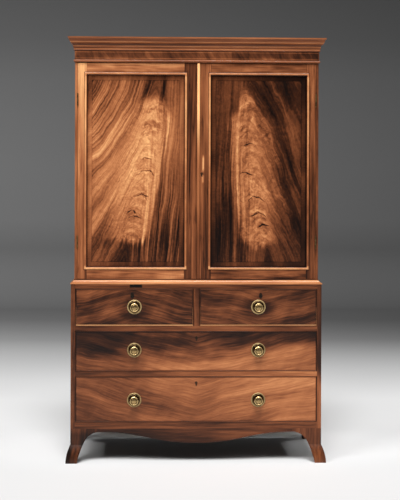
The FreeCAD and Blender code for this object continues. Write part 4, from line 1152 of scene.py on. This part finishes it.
def make_backdrop():
    """A pale floor that sweeps up into a grey wall well behind the press."""
    mesh = bmesh.new()
    section = [(FLOOR_FRONT, 0.0), (WALL - SWEEP, 0.0)]
    for step in range(1, SWEEP_STEPS + 1):
        angle = step / SWEEP_STEPS * math.pi / 2
        section.append((WALL - SWEEP + SWEEP * math.sin(angle), SWEEP - SWEEP * math.cos(angle)))
    section.append((WALL, WALL_HEIGHT))
    verts = [mesh.verts.new((-FLOOR_HALF, y, z)) for y, z in section]
    edges = [mesh.edges.new(pair) for pair in zip(verts, verts[1:])]
    wide = bmesh.ops.extrude_edge_only(mesh, edges=edges)["geom"]
    bmesh.ops.translate(mesh, verts=only_verts(wide), vec=(2 * FLOOR_HALF, 0, 0))
    floor = shade_smooth(mesh_object("backdrop", mesh, backdrop_paper("backdrop_paper")))


def backdrop_paper(name):
    """Paper whose tone follows its distance and its height, and leans darker to one side."""
    finish = Finish(name)
    tone = FLOOR_TONES[0][1]
    for tones, place in ((FLOOR_TONES, finish.y), (WALL_TONES, finish.z)):
        for (start, shade), (end, following) in zip(tones, tones[1:]):
            tone = tone + ((place - start) / (end - start)).most(0).least(1) * (following - shade)
    lean = finish.y.rise(2.2, 4.4) * 0.15 - finish.y.rise(5.0, 6.6) * 0.05
    lean = lean - finish.y.rise(2.4, 1.4) * 0.05
    tone = tone * (1 - finish.x * lean)
    finish.colour(tone, [(0.0, (0, 0, 0, 1)), (1.0, (1, 1, 1, 1))])
    finish.gloss(0.9, specular=0.1)
    clear_from_behind(finish)
    return finish.material


def hang_light(name, kind, energy, place, target, **settings):
    """A light at a place, pointed at its target."""
    data = bpy.data.lights.new(name, kind)
    data.energy = energy
    for setting, value in settings.items():
        setattr(data, setting, value)
    light = place_object(name, data)
    light.location = place
    light.rotation_euler = (Vector(target) - Vector(place)).to_track_quat("-Z", "Y").to_euler()


SKY = 0.04


def set_light():
    """A large soft light from the upper left, a weaker one from the right, and an even sky.

    A far light falls evenly over the floor. Two beams reach it beside the feet, under the arch.
    """
    hang_light("key", "AREA", 125, (-2.7, -3.2, 4.3), (0.0, -0.2, 1.2), size=1.8)
    hang_light("fill", "AREA", 32, (2.9, -3.2, 4.0), (0.0, -0.2, 1.0), size=2.4)
    hang_light("overhead", "SUN", 2.75, (0.0, -0.53, 1.0), (0.0, 0.0, 0.0), angle=math.radians(24))
    for name, side, energy in (("low_left", -1, 380), ("low_right", 1, 440)):
        hang_light(name, "SPOT", energy, (side * 3.4, 0.1, 2.9), (side * 0.56, 0.08, 0.0),
                   spot_size=math.radians(7), spot_blend=1.0, shadow_soft_size=0.4)
    world = bpy.data.worlds.new("studio")
    bpy.context.scene.world = world
    world.use_nodes = True
    background = world.node_tree.nodes["Background"]
    background.inputs["Color"].default_value = (1.0, 1.0, 1.0, 1)
    background.inputs["Strength"].default_value = SKY
    bpy.context.scene.view_settings.view_transform = "Standard"


set_camera()
dress_doors()
dress_cases()
dress_inside()
dark_metal = dress_metal()
make_knobs()
make_cock_beads()
# The keyhole linings are near black: painted shade inside each keyhole.
make_keyhole_linings(keyhole_shade("keyhole_shade_brass"))
make_facing(facing_finish("facing_mahogany"))
make_lock_screws(dark_metal)
make_backdrop()
set_light()
